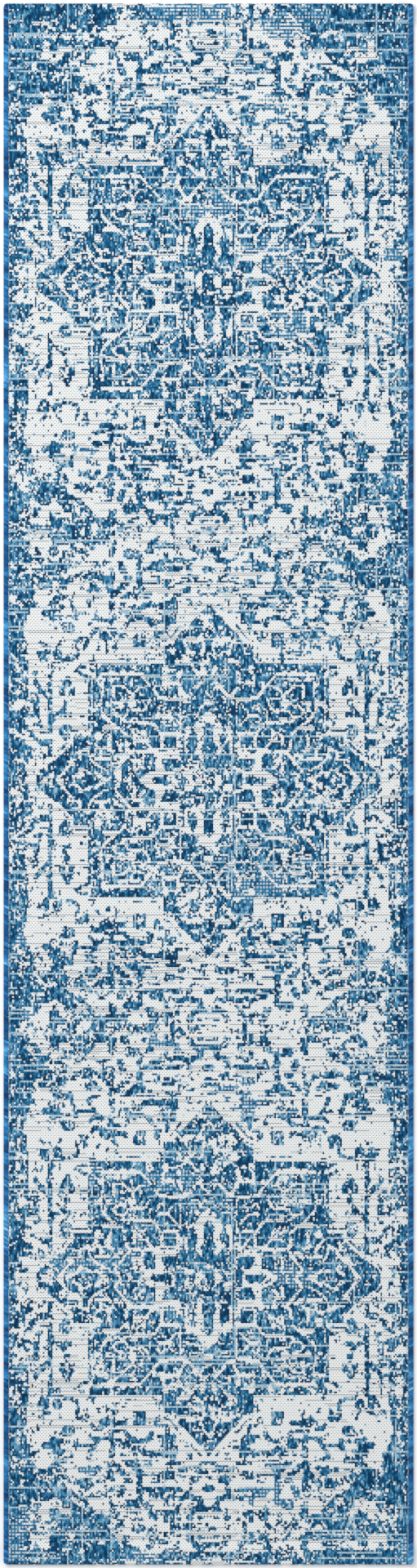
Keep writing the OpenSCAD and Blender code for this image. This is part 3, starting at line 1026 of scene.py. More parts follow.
def cloud(rng: np.random.Generator, shape: tuple[int, int], along: float, across: float) -> Array:
    """Smooth random values with a spread of 1.

    Args:
        rng: Where the randomness comes from.
        shape: Rows and columns.
        along: How far the values hold together down a column, in rows.
        across: How far they hold together along a row, in columns.

    Returns:
        The values.
    """
    waves = np.fft.rfft2(rng.standard_normal(shape))
    rows = np.fft.fftfreq(shape[0])[:, None]
    columns = np.fft.rfftfreq(shape[1])[None, :]
    waves *= np.exp(-2 * math.pi**2 * ((along * rows) ** 2 + (across * columns) ** 2))
    values = np.fft.irfft2(waves, shape)
    return values / values.std()


def ranked(values: Array) -> Array:
    """Replace values by their rank, from 0 to 1.

    Args:
        values: The values.

    Returns:
        Their ranks, in the same places.
    """
    order = np.empty(values.size)
    order[np.argsort(values, axis=None)] = np.linspace(0, 1, values.size)
    return order.reshape(values.shape)


class Yarn(Enum):
    """What shows at a crossing that isn't plain blue."""

    IVORY = 0.0
    LINED_IVORY = -1.0
    PALE = 0.16


@dataclass(frozen=True)
class Wear:
    """How mixed and worn the cloth is. Each share is of crossings, unless its name says otherwise."""

    stray_ivory: float = 0.04
    stray_blue: float = 0.01
    lightest_blue: float = 0.24
    pale_blue: float = 0.07
    lined_picks: float = 0.22
    line_gaps: float = 0.42
    pale_picks: float = 0.22
    pale_pick_gaps: float = 0.55
    pale_ends: float = 0.05
    pale_end_gaps: float = 0.70
    dark_rim: float = 0.25
    checked: float = 0.035
    check_gaps: float = 0.25


@dataclass
class PointPaper:
    """The whole rug's pattern, one shade for each crossing of an end and a pick."""

    ends: int
    picks: int
    fold: float
    end_unit: float
    repeat: int = 277
    shift: int = 2
    seed: int = 41
    worn: Wear = Wear()
    head_band: float = 10.5
    foot_band: float = 8.0
    band_middle: float = 60.0
    deep_blue: float = 0.96
    broken_blue: float = 0.80
    face: Array = field(init=False)
    back: Array = field(init=False)

    def __post_init__(self) -> None:
        """Draft the pattern, wear it, and give each crossing its shade."""
        rng = np.random.default_rng(self.seed)
        shape = (self.picks, self.ends)
        share = self._share_of_blue()
        share = np.clip(0.03 + 0.95 * share + 0.05 * cloud(rng, shape, 26, 22), 0.01, 0.985)
        grain = 0.60 * cloud(rng, shape, 0.5, 0.5) + 0.50 * cloud(rng, shape, 0.9, 1.3)
        grain += 0.32 * cloud(rng, shape, 3.2, 3.6)
        is_blue = share > ranked(grain)
        speck = rng.random(shape)
        turns_ivory = is_blue & (speck > 1 - self.worn.stray_ivory)
        turns_blue = ~is_blue & (speck < self.worn.stray_blue + 0.08 * share)
        is_blue ^= turns_ivory | turns_blue
        shades = self._blue_shades(rng, shape)
        self._wear(rng, is_blue, shades, share)
        self.face = np.where(is_blue, shades, self._ivory(rng, shape, share))
        self.back = np.where(is_blue, Yarn.IVORY.value, np.clip(shades + 0.1, 0.2, 1))

    def _share_of_blue(self) -> Array:
        """Lay the quarter draft out over the whole rug, and add what lies at its ends.

        Returns:
            The share of blue at each crossing.
        """
        quarter = QuarterDraft().blue
        pick = np.arange(self.picks) + 0.5 - self.picks / 2
        half = self.repeat / 2
        c = np.abs((pick - self.shift + half) % self.repeat - half)
        a = np.abs(np.arange(self.ends) + 0.5 - self.ends / 2) * self.end_unit
        rows = np.minimum(c.astype(int), QuarterDraft.PICKS - 1)
        columns = np.minimum(a.astype(int), QuarterDraft.ENDS - 1)
        return self._add_end_masses(quarter[np.ix_(rows, columns)], a, pick)

    def _add_end_masses(self, share: Array, a: Array, pick: Array) -> Array:
        """Lay the bands along the rug's ends, and the blue masses beside them, over the medallions.

        Args:
            share: The share of blue at each crossing.
            a: Each column's distance from the rug's middle line.
            pick: Each row's distance from the rug's middle, towards its head end.

        Returns:
            The share of blue, with them added.
        """
        a_grid, end_grid = np.meshgrid(a, self.fold - np.abs(pick))
        is_head = (pick > 0)[:, None]
        is_right = np.arange(self.ends) >= self.ends / 2
        deep = np.where(is_head, self.head_band, self.foot_band)
        outer = (end_grid < deep) & (a_grid > self.band_middle)
        inner = (end_grid < deep * 0.9) & (end_grid > 2) & (a_grid <= self.band_middle)
        share = np.where(outer, 0.95, share)
        share = np.where(inner, np.maximum(share, 0.74), share)
        uneven = end_grid + 2.4 * np.sin(a_grid / 3.7) + 1.5 * np.sin(a_grid / 1.9 + 1)
        side = is_head & (uneven < 56) & (a_grid > 107 + 4 * np.sin(end_grid / 5))
        notch = (a_grid > 82) & (a_grid < 104) & (uneven > 17)
        stair = is_head & is_right & (uneven < np.minimum(26, 9 + 1.1 * (a_grid - 54))) & ~notch
        flag = is_head & ~is_right & (np.abs(uneven - 42) < 7) & (a_grid > 80)
        wedge = ~is_head & ~is_right & (np.abs(a_grid - 78) < 34 - uneven) & (end_grid > 4)
        share = np.where(side | stair, self.deep_blue, share)
        return np.where(flag | wedge, np.maximum(share, self.broken_blue), share)

    def _blue_shades(self, rng: np.random.Generator, shape: tuple[int, int]) -> Array:
        """Mixed blue yarns, in short streaks along the rug.

        Args:
            rng: Where the randomness comes from.
            shape: Picks and ends.

        Returns:
            The shade that each crossing has where it is blue.
        """
        streak = 0.80 * cloud(rng, shape, 0.8, 0.25) + 0.30 * cloud(rng, shape, 0.3, 0.3)
        streak += 0.25 * cloud(rng, shape, 4, 3)
        rank = ranked(streak)
        lightest = self.worn.lightest_blue
        shades = lightest + (1 - lightest) * rank**1.05
        return np.where(rank < self.worn.pale_blue, Yarn.PALE.value, shades)

    def _ivory(self, rng: np.random.Generator, shape: tuple[int, int], share: Array) -> Array:
        """Ivory yarn, with dark lines where the yarn below shows between two picks.

        Args:
            rng: Where the randomness comes from.
            shape: Picks and ends.
            share: The share of blue at each crossing.

        Returns:
            The shade that each crossing has where it is ivory.
        """
        bare = ranked(cloud(rng, shape, 7, 14))
        by_pick = rng.random((shape[0], 1))
        runs = ranked(cloud(rng, shape, 0.25, 7)) > self.worn.line_gaps
        lined = (by_pick + 0.35 * bare > 1 - self.worn.lined_picks) & runs & (share < 0.5)
        return np.where(lined, Yarn.LINED_IVORY.value, Yarn.IVORY.value)

    def _wear(self, rng: np.random.Generator, is_blue: Array, shades: Array, share: Array) -> None:
        """Let ivory yarn show through the blue in thin lines and in patches of small checks.

        Args:
            rng: Where the randomness comes from.
            is_blue: Where blue yarn shows. The checks change it.
            shades: The blue yarn's shades, which the wear changes.
            share: The share of blue at each crossing.
        """
        shape, worn = is_blue.shape, self.worn
        patch = ranked(cloud(rng, shape, 6, 11) + 0.6 * (share > 0.4))
        pick_line = rng.random((shape[0], 1)) > 1 - worn.pale_picks
        pick_line = pick_line & (ranked(cloud(rng, shape, 0.25, 9)) > worn.pale_pick_gaps)
        end_line = rng.random((1, shape[1])) > 1 - worn.pale_ends
        end_line = end_line & (ranked(cloud(rng, shape, 9, 0.25)) > worn.pale_end_gaps)
        shades[(pick_line | end_line) & is_blue] = Yarn.PALE.value
        rim = is_blue & ~(np.roll(is_blue, 1, 0) & np.roll(is_blue, 1, 1) & np.roll(is_blue, -1, 1))
        shades[rim & (rng.random(shape) > 1 - worn.dark_rim)] = 1.0
        rows, columns = np.indices(shape)
        kept = rng.random(shape) > worn.check_gaps
        checks = (patch > 1 - worn.checked) & (share > 0.15) & kept
        is_blue[checks & (rows % 2 == 0) & (columns % 2 == 0)] = False
        is_blue[checks & (rows % 2 == 1)] = True
        shades[checks] = 0.4 + 0.2 * shades[checks]


# ---------------------------------------------------------------------------
# Finishes
# ---------------------------------------------------------------------------


@dataclass(frozen=True)
class WovenFinish:
    """Flat-woven cloth that takes each crossing's shade from the loom's own grid."""

    ends: int
    picks: int
    ivory: tuple = linear(240, 243, 242)
    tie: tuple = linear(98, 108, 120)
    line: tuple = linear(92, 104, 118)
    # Dark binder colour: the real binder points on blue, and the painted shade in the grooves between blue
    # ends.
    gap: tuple = linear(14, 40, 66)
    tie_on_ivory: float = 0.85
    tie_on_blue: float = 0.35
    line_strength: float = 0.80
    # How far the painted groove shade pulls the blue towards the dark binder colour.
    groove_shade_strength: float = 0.38
    relief: float = 0.7 * MM

    def build(self) -> bpy.types.Material:
        """Make the material.

        Returns:
            The woven material, which reads the UV map "loom" and the two sets of shades.
        """
        sh = Shader("woven_cloth")
        across, along = sh.uv("loom")
        end, pick = across * float(self.ends), along * float(self.picks)
        shade = self._shade(sh, end, pick)
        fu, fv = end.fract(), pick.fract()
        odd = (end.floor() + pick.floor()) % 2.0
        blue = shade > 0.05
        fibre = sh.noise(sh.vector(end * 3.0, pick * 0.9), 1.0, 2.0)
        bands = sh.noise(sh.vector(end * 0.9, pick * 0.35), 1.0, 1.0)
        tone = shade + blue * ((fibre - 0.5) * 1.1 + (bands - 0.5) * 0.25)
        colour = sh.ramp(
            tone,
            [
                (0.00, self.ivory),
                (0.07, linear(216, 227, 232)),
                (0.20, linear(150, 196, 218)),
                (0.36, linear(84, 158, 198)),
                (0.54, linear(40, 120, 166)),
                (0.74, linear(16, 86, 132)),
                (1.00, linear(2, 46, 80)),
            ],
        )
        tie = (1.0 - odd) * fu.near(0.5, 0.20, 0.22) * fv.near(0.5, 0.16, 0.22)
        colour = sh.mix(tie * (1.0 - blue) * self.tie_on_ivory, colour, self.tie)
        colour = sh.mix(tie * blue * self.tie_on_blue, colour, self.gap)
        lined = (shade < -0.5) * fv.near(0.10, 0.17, 0.14)
        colour = sh.mix(lined * self.line_strength, colour, self.line)
        # Painted shade: the grooves between blue ends are mixed towards the dark binder colour.
        groove_shade = 1.0 - fu.near(0.5, 0.30, 0.20)
        colour = sh.mix(groove_shade * blue * self.groove_shade_strength, colour, self.gap)
        # Random fibre tone, and a little more painted shade in the grooves between ends.
        colour = sh.shade(colour, 0.94 + 0.12 * fibre - 0.05 * groove_shade)
        height = self._relief(fu, fv, pick, odd, blue) + 0.15 * fibre
        return sh.finish(colour, 0.72 + 0.2 * fibre, height, self.relief)

    @staticmethod
    def _shade(sh: Shader, end: Signal, pick: Signal) -> Signal:
        """Pick out the shade of the crossing, from the eight that each face of the mesh carries.

        Args:
            sh: The material's shader.
            end: The place across, in ends.
            pick: The place along, in picks.

        Returns:
            The crossing's shade.
        """
        column = end.floor() % 4.0
        row = pick.floor() % 2.0
        rows = []
        for name in ("shades_a", "shades_b"):
            attribute = sh.node("ShaderNodeAttribute", {"attribute_name": name})
            first = sh.parts(Signal(sh, attribute.outputs["Color"]))
            four = (*first, Signal(sh, attribute.outputs["Alpha"]))
            terms = [value * column.at(number) for number, value in enumerate(four)]
            rows.append(terms[0] + terms[1] + terms[2] + terms[3])
        return rows[0] * (1.0 - row) + rows[1] * row

    @staticmethod
    def _relief(fu: Signal, fv: Signal, pick: Signal, odd: Signal, blue: Signal) -> Signal:
        """Height of the yarns: knots in the ivory, and floats along the rug in the blue.

        Args:
            fu: The place across one end, from 0 to 1.
            fv: The place along one pick, from 0 to 1.
            pick: The place along, in picks.
            odd: 1 at every second crossing, else 0.
            blue: 1 where the crossing is blue, else 0.

        Returns:
            The height, from 0 to 1.
        """
        round_end = (fu * math.pi).sine()
        knot = round_end * (fv * math.pi).sine() * (0.45 + 0.55 * odd)
        float_over = ((pick * 0.5 + odd * 0.5).fract() * math.pi).sine().power(0.5)
        return knot * (1.0 - blue) + round_end * float_over * blue


@dataclass(frozen=True)
class BindingFinish:
    """Space-dyed blue yarn, twisted from two plies."""

    turns: float

    def build(self) -> bpy.types.Material:
        """Make the material.

        Returns:
            The yarn's material, which reads the UV map "yarn".
        """
        sh = Shader("binding_yarn")
        along, around = sh.uv("yarn")
        x, y, _ = sh.parts(sh.place())
        slow = sh.noise(sh.vector(x * 6.0, y * 16.0), 1.0, 1.0)
        quick = sh.noise(sh.vector(x * 20.0, y * 62.0), 1.0, 1.0)
        wrap = sh.noise(sh.vector((along * self.turns).floor() * 0.73, 0.0), 1.0, 0.0)
        fibre = sh.noise(sh.vector(along * self.turns * 7.0, around * 9.0), 1.0, 2.0)
        tone = 0.5 + (slow - 0.5) * 1.3 + (quick - 0.5) * 1.2 + (wrap - 0.5) * 0.9 + (fibre - 0.5) * 0.8
        colour = sh.ramp(
            tone,
            [
                (0.00, linear(0, 44, 88)),
                (0.25, linear(4, 68, 120)),
                (0.50, linear(20, 100, 160)),
                (0.72, linear(52, 140, 200)),
                (0.92, linear(104, 184, 230)),
                (1.00, linear(150, 210, 240)),
            ],
        )
        ply = ((along * self.turns * 5.0 + around * 2.0).fract() * math.pi).sine()
        # Painted shade: the yarn is darker between its plies and lighter on their crowns, along the twist.
        colour = sh.shade(colour, 0.82 + 0.25 * ply)
        return sh.finish(colour, 0.55 + 0.25 * fibre, 0.8 * ply + 0.4 * fibre, 0.0005, sheen=0.1)


@dataclass(frozen=True)
class ThreadFinish:
    """A plain sewing thread or cord, with its twist."""

    name: str
    colour: tuple
    twist: float = 900.0
    depth: float = 0.0001

    def build(self) -> bpy.types.Material:
        """Make the material, from the place on the piece.

        Returns:
            The thread's material.
        """
        sh = Shader(self.name)
        place = sh.place()
        x, y, z = sh.parts(place)
        ply = (((x + y + z) * self.twist).fract() * math.pi).sine()
        fibre = sh.noise(place, 2500.0, 2.0)
        base = sh.mix(0.35 * fibre, self.colour, (1.0, 1.0, 1.0, 1.0))
        # Painted shade: the thread is darker between the plies of its twist and lighter on their crowns.
        colour = sh.shade(base, 0.7 + 0.3 * ply)
        return sh.finish(colour, 0.5 + 0.3 * fibre, ply, self.depth)


@dataclass(frozen=True)
class LabelFinish:
    """Blank satin label cloth with a fine weave."""

    def build(self) -> bpy.types.Material:
        """Make the material, from the place on the label.

        Returns:
            The label cloth's material.
        """
        sh = Shader("label_cloth")
        x, y, _ = sh.parts(sh.place())
        warp = ((x * 4000.0).fract() * math.pi).sine()
        weft = ((y * 2600.0).fract() * math.pi).sine()
        cloudy = sh.noise(sh.place(), 60.0, 3.0)
        # Painted highlight on the weave's crowns where warp and weft cross, plus random cloudy tone.
        colour = sh.shade(linear(236, 235, 230), 0.88 + 0.08 * warp * weft + 0.06 * cloudy)
        return sh.finish(colour, 0.42 + 0.2 * cloudy, warp * weft, 0.00004, sheen=0.2)


@dataclass(frozen=True)
class FloorFinish:
    """Plain pale floor."""

    def build(self) -> bpy.types.Material:
        """Make the material, with a trace of unevenness in its gloss."""
        sh = Shader("pale_floor")
        return sh.finish(linear(249, 250, 251), 0.85 + 0.1 * sh.noise(sh.place(), 3.0))


# ---------------------------------------------------------------------------
# The rug's pieces
# ---------------------------------------------------------------------------


@dataclass
class WovenCloth:
    """The one cloth of the rug, with both ends turned under."""

    sizes: RugSizes
    maker: Maker
    ends: int = 252
    pick_height: float = 2.67 * MM
    ends_a_face: int = 4
    picks_a_face: int = 2
    fine_cuts: int = 3
    draft_end: float = 2.38 * MM
    binding_press: float = 1.0 * MM
    label_press: float = 0.75 * MM
    label: tuple[float, float, float, float] | None = None

    def __post_init__(self) -> None:
        """Work out the cloth's cut length and its number of picks."""
        s = self.sizes
        self.half_cut = s.fold_y + math.pi * s.fold_radius + s.fold_y - s.hem_y
        self.rows = round(2 * self.half_cut / self.pick_height / self.picks_a_face)
        self.columns = self.ends // self.ends_a_face
        self.picks = self.rows * self.picks_a_face

    @property
    def flat(self) -> tuple[float, float]:
        """The size that the cloth was cut to.

        Returns:
            Its width and length, flat.
        """
        s = self.sizes
        turned = s.fold_y - s.hem_y + math.pi * (s.fold_radius - s.cloth / 2)
        return 2 * s.cloth_half_width, 2 * (s.fold_y + turned)

    def paper(self) -> PointPaper:
        """Draft the pattern for this cloth.

        Returns:
            The pattern, in this cloth's ends and picks.
        """
        fold = self.sizes.half_length / (2 * self.half_cut) * self.picks
        width_of_end = 2 * self.sizes.cloth_half_width / self.ends
        return PointPaper(self.ends, self.picks, fold, width_of_end / self.draft_end)

    def build(self) -> bpy.types.Object:
        """Weave the cloth, fold its ends and dress it.

        Returns:
            The cloth.
        """
        mesh = self._mesh()
        self._colour(mesh)
        finish = WovenFinish(self.ends, self.picks).build()
        cloth = self.maker.piece("rug_cloth", mesh, finish, "woven_cloth")
        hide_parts("woven_panel")
        return cloth

    def _mesh(self) -> bpy.types.Mesh:
        """Make a grid in the cloth's flat, cut it finer at its ends, fold it and give it its thickness.

        Returns:
            The cloth's mesh.
        """
        bm = bmesh.new()
        bm.loops.layers.uv.new("loom")
        column = bm.faces.layers.int.new("column")
        row = bm.faces.layers.int.new("row")
        back = bm.faces.layers.int.new("back")
        bmesh.ops.create_grid(bm, x_segments=self.columns, y_segments=self.rows, size=1, calc_uvs=True)
        for face in bm.faces:
            middle = face.calc_center_median()
            face[column] = int((middle.x + 1) / 2 * self.columns)
            face[row] = int((middle.y + 1) / 2 * self.rows)
        self._cut_finer(bm)
        for vert in bm.verts:
            vert.co = self._folded(vert.co.x, vert.co.y)
        front = list(bm.faces)
        bmesh.ops.recalc_face_normals(bm, faces=front)
        sample = 2000
        if sum(face.normal.z for face in front[:sample]) < 0:
            bmesh.ops.reverse_faces(bm, faces=front)
        added = bmesh.ops.solidify(bm, geom=front, thickness=self.sizes.cloth)
        for item in added["geom"]:
            if isinstance(item, bmesh.types.BMFace):
                item[back] = 1
        bmesh.ops.recalc_face_normals(bm, faces=bm.faces)
        mesh = to_mesh(bm, "rug_cloth")
        self._thin_under_binding(mesh)
        return mesh

    def _cut_finer(self, bm: bmesh.types.BMesh) -> None:
        """Cut the rows that climb and fold into thinner ones.

        Args:
            bm: The cloth, still flat.
        """
        start = (self.sizes.climb_y - 3 * MM) / self.half_cut
        lengthways = [
            edge
            for edge in bm.edges
            if abs(edge.verts[0].co.y - edge.verts[1].co.y) > 1e-6
            and max(abs(edge.verts[0].co.y), abs(edge.verts[1].co.y)) > start
        ]
        bmesh.ops.subdivide_edges(bm, edges=lengthways, cuts=self.fine_cuts, use_grid_fill=True)

    def _folded(self, across: float, along: float) -> Vector:
        """Place a point of the cloth's face, flat on the rug or round its fold.

        Args:
            across: From -1 to 1 over the cloth's width.
            along: From -1 to 1 over its cut length.

        Returns:
            The place in the rug.
        """
        s = self.sizes
        end = math.copysign(1, along)
        reach = abs(along) * self.half_cut
        x = across * s.cloth_half_width
        if reach <= s.fold_y:
            return Vector((x, end * reach, s.cloth + float(s.lift(np.array(reach)))))
        turned = (reach - s.fold_y) / s.fold_radius
        if turned <= math.pi:
            y = s.fold_y + s.fold_radius * math.sin(turned)
            return Vector((x, end * y, s.fold_radius * (1 + math.cos(turned))))
        beyond = reach - s.fold_y - math.pi * s.fold_radius
        return Vector((x, end * (s.fold_y - beyond), 0.0))

    def _thin_under_binding(self, mesh: bpy.types.Mesh) -> None:
        """Lift the back where the binding yarn and the label are pressed into it.

        Args:
            mesh: The cloth, folded and given its thickness.
        """
        points = read_points(mesh)
        s = self.sizes
        under = points[:, 2] < s.cloth * 0.5
        edge = np.abs(points[:, 0]) > s.binding_inner - MM
        points[under & edge, 2] += self.binding_press
        if self.label:
            x, y, half_w, half_l = self.label
            near_x = np.clip(1.35 - np.abs(points[:, 0] - x) / half_w, 0, 0.25) * 4
            near_y = np.clip(1.35 - np.abs(points[:, 1] - y) / half_l, 0, 0.25) * 4
            points[under, 2] += self.label_press * (near_x * near_y)[under]
        write_points(mesh, points)

    def _colour(self, mesh: bpy.types.Mesh) -> None:
        """Store the shades of the eight crossings that each face covers.

        Args:
            mesh: The cloth, whose faces know their column, row and side.
        """
        paper = self.paper()
        count = len(mesh.polygons)
        ids = {}
        for name in ("column", "row", "back"):
            values = np.empty(count, np.int32)
            mesh.attributes[name].data.foreach_get("value", values)
            ids[name] = values
        first_end = ids["column"] * self.ends_a_face
        for offset, name in enumerate(("shades_a", "shades_b")):
            pick = ids["row"] * self.picks_a_face + offset
            shades = np.empty((count, self.ends_a_face), np.float32)
            for step in range(self.ends_a_face):
                face_shade = paper.face[pick, first_end + step]
                back_shade = paper.back[pick, first_end + step]
                shades[:, step] = np.where(ids["back"] > 0, back_shade, face_shade)
            layer = mesh.attributes.new(name, "FLOAT_COLOR", "FACE")
            layer.data.foreach_set("color", shades.ravel())
        for name in ids:
            mesh.attributes.remove(mesh.attributes[name])


@dataclass
class EdgeBinding:
    """The yarn wound round one long edge, in slanting wraps."""

    sizes: RugSizes
    maker: Maker
    pitch: float = 3.4 * MM
    yarn: float = 1.2 * MM
    slant: float = 2.5 * MM
    steps_a_wrap: int = 12
    sides: int = 6
    corner: float = 4 * MM
    squareness: float = 0.62

    @property
    def wraps(self) -> int:
        """Number of wraps along one edge."""
        return round(2 * self.sizes.binding_half_length / self.pitch)

    def build(self, side: int, finish: bpy.types.Material) -> bpy.types.Object:
        """Wind one edge.

        Args:
            side: LEFT or RIGHT.
            finish: The yarn's material.

        Returns:
            The binding.
        """
        word = SIDE_WORDS[side]
        name = f"{word}_binding_wraps"
        path, outward = self._path(side)
        wide = self.pitch * 1.12
        mesh = swept_tube(name, path, outward, self.yarn, wide, self.sides)
        binding = self.maker.piece(name, mesh, finish, "binding_yarn")
        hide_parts(f"{word}_edge_binding")
        return binding

    def _path(self, side: int) -> tuple[Array, Array]:
        """Points down the middle of the yarn, and the direction away from the rug's edge at each.

        Args:
            side: LEFT or RIGHT.

        Returns:
            The points and the directions.
        """
        s = self.sizes
        turn = np.arange(self.wraps * self.steps_a_wrap + 1) / self.steps_a_wrap
        angle = TAU * turn
        reach = s.binding_half_length - self.yarn / 2
        y = -reach + 2 * reach * turn / self.wraps
        cos, sin = np.cos(angle), np.sin(angle)
        y = np.clip(y + self.slant * np.sign(cos) * np.abs(cos) ** 0.9, -reach, reach)
        half_h = (s.low_height + s.lift(y) - self.yarn) / 2
        past = np.maximum(np.abs(y) - (reach - self.corner), 0)
        rounded = self.corner - np.sqrt(np.maximum(self.corner**2 - past**2, 0))
        inner = s.binding_inner + self.yarn / 2
        outer = s.half_width - self.yarn / 2 - 0.8 * rounded
        middle, half_w = (inner + outer) / 2, (outer - inner) / 2
        x = middle + half_w * np.sign(cos) * np.abs(cos) ** self.squareness
        z = half_h + self.yarn / 2 + half_h * np.sign(sin) * np.abs(sin) ** self.squareness
        path = np.stack([side * x, y, z], axis=1)
        out = np.stack([side * cos, np.zeros_like(cos), sin * 1.2], axis=1)
        return path, unit(out)


@dataclass
class Stitching:
    """Rows of short stitches, each a bowed thread whose ends go into the cloth."""

    maker: Maker
    sides: int = 5
    steps: int = 6

    def build(
        self,
        name: str,
        starts: Array,
        stops: Array,
        up: tuple[float, float, float],
        thread: float,
        finish: bpy.types.Material,
        slot: str,
    ) -> bpy.types.Object:
        """Sew a set of stitches.

        Args:
            name: The piece's name.
            starts: Where each stitch leaves the cloth.
            stops: Where it goes back in.
            up: The direction away from the cloth.
            thread: The thread's diameter.
            finish: Its material.
            slot: Not used.

        Returns:
            The stitches, as one piece.
        """
        bm = bmesh.new()
        up_v = np.array(up)
        t = np.linspace(0, 1, self.steps + 1)[:, None]
        bow = np.sin(math.pi * t) - 0.6
        for start, stop in zip(starts, stops, strict=True):
            path = start + (stop - start) * t + up_v * bow * thread * 0.5
            part = swept_tube(name, path, np.tile(up_v, (len(t), 1)), thread, thread, self.sides)
            bm.from_mesh(part)
            bpy.data.meshes.remove(part)
        return self.maker.piece(name, to_mesh(bm, name), finish, slot)


@dataclass
class LockThread:
    """The lockstitch that holds a binding down along its inner side."""

    sizes: RugSizes
    stitching: Stitching
    thread: float = 0.6 * MM
    stitch: float = 8 * MM

    def build(self, side: int, finish: bpy.types.Material) -> bpy.types.Object:
        """Sew along one edge.

        Args:
            side: LEFT or RIGHT.
            finish: The thread's material.

        Returns:
            The stitches.
        """
        s = self.sizes
        count = int((2 * s.half_length - 2 * s.fold_radius) / self.stitch)
        first = (np.arange(count) - count / 2) * self.stitch
        x = np.full(count, side * (s.binding_inner - self.thread / 2))
        ends = []
        for y in (first, first + 0.8 * self.stitch):
            z = s.cloth + s.lift(y) + self.thread * 0.35
            ends.append(np.stack([x, y, z], axis=1))
        word = SIDE_WORDS[side]
        piece = self.stitching.build(
            f"{word}_lock_stitches", ends[0], ends[1], (0, 0, 1), self.thread, finish, "sewing_thread"
        )
        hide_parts(f"{word}_binding_lock_thread")
        return piece


@dataclass
class HemThread:
    """The zigzag thread that catches a turned end to the back of the cloth."""

    sizes: RugSizes
    maker: Maker
    thread: float = 0.7 * MM
    pitch: float = 10 * MM
    steps: int = 8
    sides: int = 6

    def build(self, end: int, finish: bpy.types.Material) -> bpy.types.Object:
        """Sew one end.

        Args:
            end: HEAD or FOOT.
            finish: The thread's material.

        Returns:
            The zigzag.
        """
        s = self.sizes
        count = int((2 * s.binding_inner - self.pitch) / self.pitch)
        turn = np.arange(count * self.steps + 1) / self.steps
        x = (turn - count / 2) * self.pitch
        swing = 0.5 + 0.5 * np.cos(TAU * turn)
        near, far = s.hem_y - self.thread / 2, s.hem_y - 0.4 * s.climb
        low, high = s.cloth / 2, float(s.lift(np.array(far))) - 0.65 * self.thread
        y = far + (near - far) * swing
        z = high + (low - high) * swing
        path = np.stack([x, end * y, z], axis=1)
        down = np.tile((0.0, 0.0, -1.0), (len(path), 1))
        word = END_WORDS[end]
        name = f"{word}_hem_zigzag"
        mesh = swept_tube(name, path, down, self.thread, self.thread, self.sides)
        piece = self.maker.piece(name, mesh, finish, "sewing_thread")
        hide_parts(f"{word}_hem_thread")
        return piece


@dataclass
class CareLabel:
    """The blank label under one corner, and the thread round it."""

    maker: Maker
    stitching: Stitching
    stitch: float = 5 * MM
    curl: float = 0.05 * MM

    def place(self) -> tuple[float, float, float, float]:
        """Its middle and half sizes.

        Returns:
            X and Y of its middle, and half its width and length.
        """
        low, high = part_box("care_label")
        middle, half = (low + high) / 2, (high - low) / 2
        return middle.x, middle.y, half.x, half.y

    def build(self, finish: bpy.types.Material) -> bpy.types.Object:
        """Make the label, a thin sheet with a slight curl.

        Args:
            finish: The label cloth's material.

        Returns:
            The label.
        """
        low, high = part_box("care_label")
        x, y, half_w, half_l = self.place()
        bm = bmesh.new()
        bmesh.ops.create_grid(bm, x_segments=24, y_segments=16, size=1)
        for vert in bm.verts:
            rise = self.curl * (1 + math.sin(4 * vert.co.x + 3 * vert.co.y))
            vert.co = Vector((x + vert.co.x * half_w, y + vert.co.y * half_l, low.z + rise))
        bmesh.ops.solidify(bm, geom=list(bm.faces), thickness=-(high.z - low.z) * 0.8)
        bmesh.ops.recalc_face_normals(bm, faces=bm.faces)
        label = self.maker.piece("blank_label", to_mesh(bm, "blank_label"), finish, "label_cloth")
        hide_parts("care_label")
        2 * half_w
        2 * half_l
        return label

    def sew(self, finish: bpy.types.Material) -> bpy.types.Object:
        """Sew round the label.

        Args:
            finish: The thread's material.

        Returns:
            The stitches.
        """
        low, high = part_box("care_label_thread")
        thread = high.z - low.z
        starts, stops = [], []
        corners = [(low.x, low.y), (high.x, low.y), (high.x, high.y), (low.x, high.y), (low.x, low.y)]
        for (x0, y0), (x1, y1) in zip(corners, corners[1:], strict=False):
            reach = math.hypot(x1 - x0, y1 - y0)
            count = round(reach / self.stitch)
            for number in range(count):
                for share, ends in ((0.15, starts), (0.85, stops)):
                    t = (number + share) / count
                    ends.append((x0 + (x1 - x0) * t, y0 + (y1 - y0) * t, low.z + thread * 0.55))
        piece = self.stitching.build(
            "label_stitches", np.array(starts), np.array(stops), (0, 0, -1), thread, finish, "label_thread"
        )
        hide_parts("care_label_thread")
        return piece


# ---------------------------------------------------------------------------
# The room
# ---------------------------------------------------------------------------


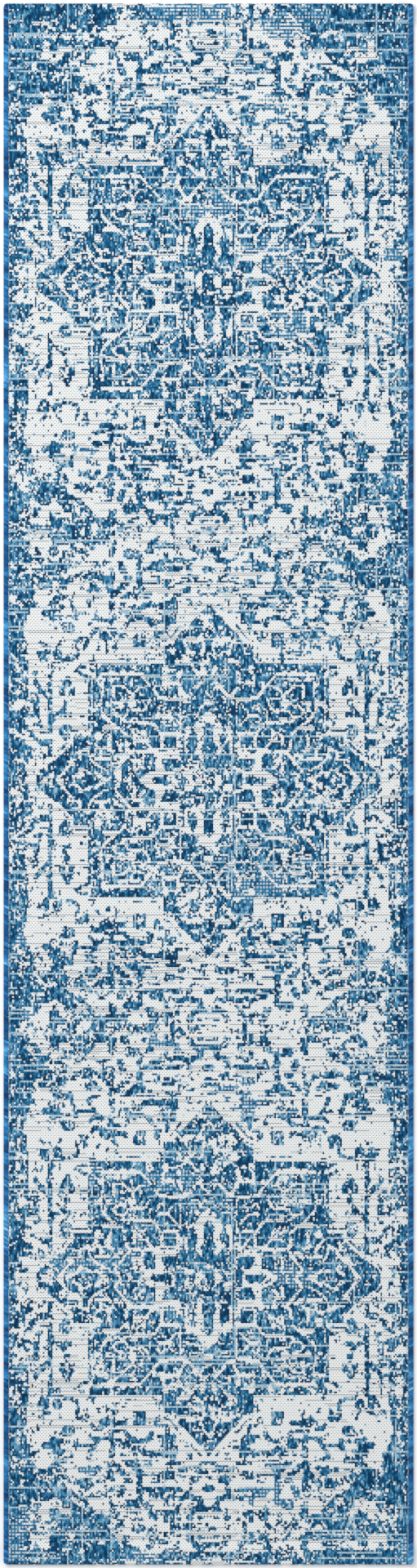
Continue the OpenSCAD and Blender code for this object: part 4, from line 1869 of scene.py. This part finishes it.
@dataclass
class Studio:
    """A plain pale floor, soft light, and a camera straight above the rug."""

    lens: float = 200.0
    sensor: float = 36.0
    seen_length: float = 2.331
    far: float = 100.0
    floor_half: float = 40.0
    floor_drop: float = 0.2 * MM
    room_light: float = 0.72
    lamp_place: tuple[float, float, float] = (-3.0, 2.6, 4.6)
    lamp_size: float = 4.0
    lamp_power: float = 220.0

    def build(self) -> None:
        """Set the camera, the floor and the lights."""
        self._camera()
        self._floor()
        self._lights()

    def _camera(self) -> None:
        """Hang a long lens above the middle of the rug, with the head end at the top."""
        data = bpy.data.cameras.new("camera")
        data.lens = self.lens
        data.sensor_width = self.sensor
        data.clip_end = self.far
        camera = link_new("camera", data)
        camera.location = (0, 0, self.seen_length * self.lens / self.sensor)
        bpy.context.scene.camera = camera

    def _floor(self) -> None:
        """Lay the floor just below the rug's underside."""
        bm = bmesh.new()
        bmesh.ops.create_grid(bm, x_segments=1, y_segments=1, size=self.floor_half)
        mesh = to_mesh(bm, "floor")
        mesh.materials.append(FloorFinish().build())
        floor = link_new("floor", mesh)
        floor.location = (0, 0, -self.floor_drop)

    def _lights(self) -> None:
        """Light the room evenly, with a large soft lamp to one side of the head end."""
        world = bpy.data.worlds.new("soft_room")
        world.use_nodes = True
        background = world.node_tree.nodes["Background"]
        background.inputs["Color"].default_value = (1.0, 1.0, 1.0, 1.0)
        background.inputs["Strength"].default_value = self.room_light
        bpy.context.scene.world = world
        data = bpy.data.lights.new("soft_lamp", "AREA")
        data.shape = "RECTANGLE"
        data.size = data.size_y = self.lamp_size
        data.energy = self.lamp_power
        lamp = link_new("soft_lamp", data)
        lamp.location = self.lamp_place
        lamp.rotation_euler = (-lamp.location).to_track_quat("-Z", "Y").to_euler()
        view = bpy.context.scene.view_settings
        view.view_transform = "Standard"
        view.look = "None"


def dress(node: str, finish: bpy.types.Material) -> None:
    """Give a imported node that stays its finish.

    Args:
        node: The node's name.
        finish: Its material.
    """
    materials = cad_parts[node].data.materials
    materials.clear()
    materials.append(finish)


def main() -> None:
    """Build the rug, from the room to its threads."""
    logging.basicConfig(level=logging.INFO)
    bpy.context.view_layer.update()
    sizes = RugSizes.from_frame()
    Studio().build()
    maker = Maker(sizes)
    stitching = Stitching(maker)
    label = CareLabel(maker, stitching)

    cloth_class = WovenCloth(sizes, maker, label=label.place())
    cloth = cloth_class.build()

    bindings = EdgeBinding(sizes, maker)
    yarn = BindingFinish(float(bindings.wraps)).build()
    pale_thread = ThreadFinish("pale_thread", linear(196, 212, 226)).build()
    navy_thread = ThreadFinish("navy_thread", linear(30, 52, 86)).build()
    label_thread = ThreadFinish("label_thread", linear(210, 210, 208)).build()
    cord = ThreadFinish("edge_cord", linear(226, 222, 210), twist=260.0, depth=0.0004).build()

    for side in (LEFT, RIGHT):
        bindings.build(side, yarn)
        LockThread(sizes, stitching).build(side, pale_thread)
        dress(f"{SIDE_WORDS[side]}_edge_cord", cord)
    for end in (HEAD, FOOT):
        HemThread(sizes, maker).build(end, navy_thread)
    label.build(LabelFinish().build())
    label.sew(label_thread)
    cloth_class.flat


if __name__ == "__main__":
    main()
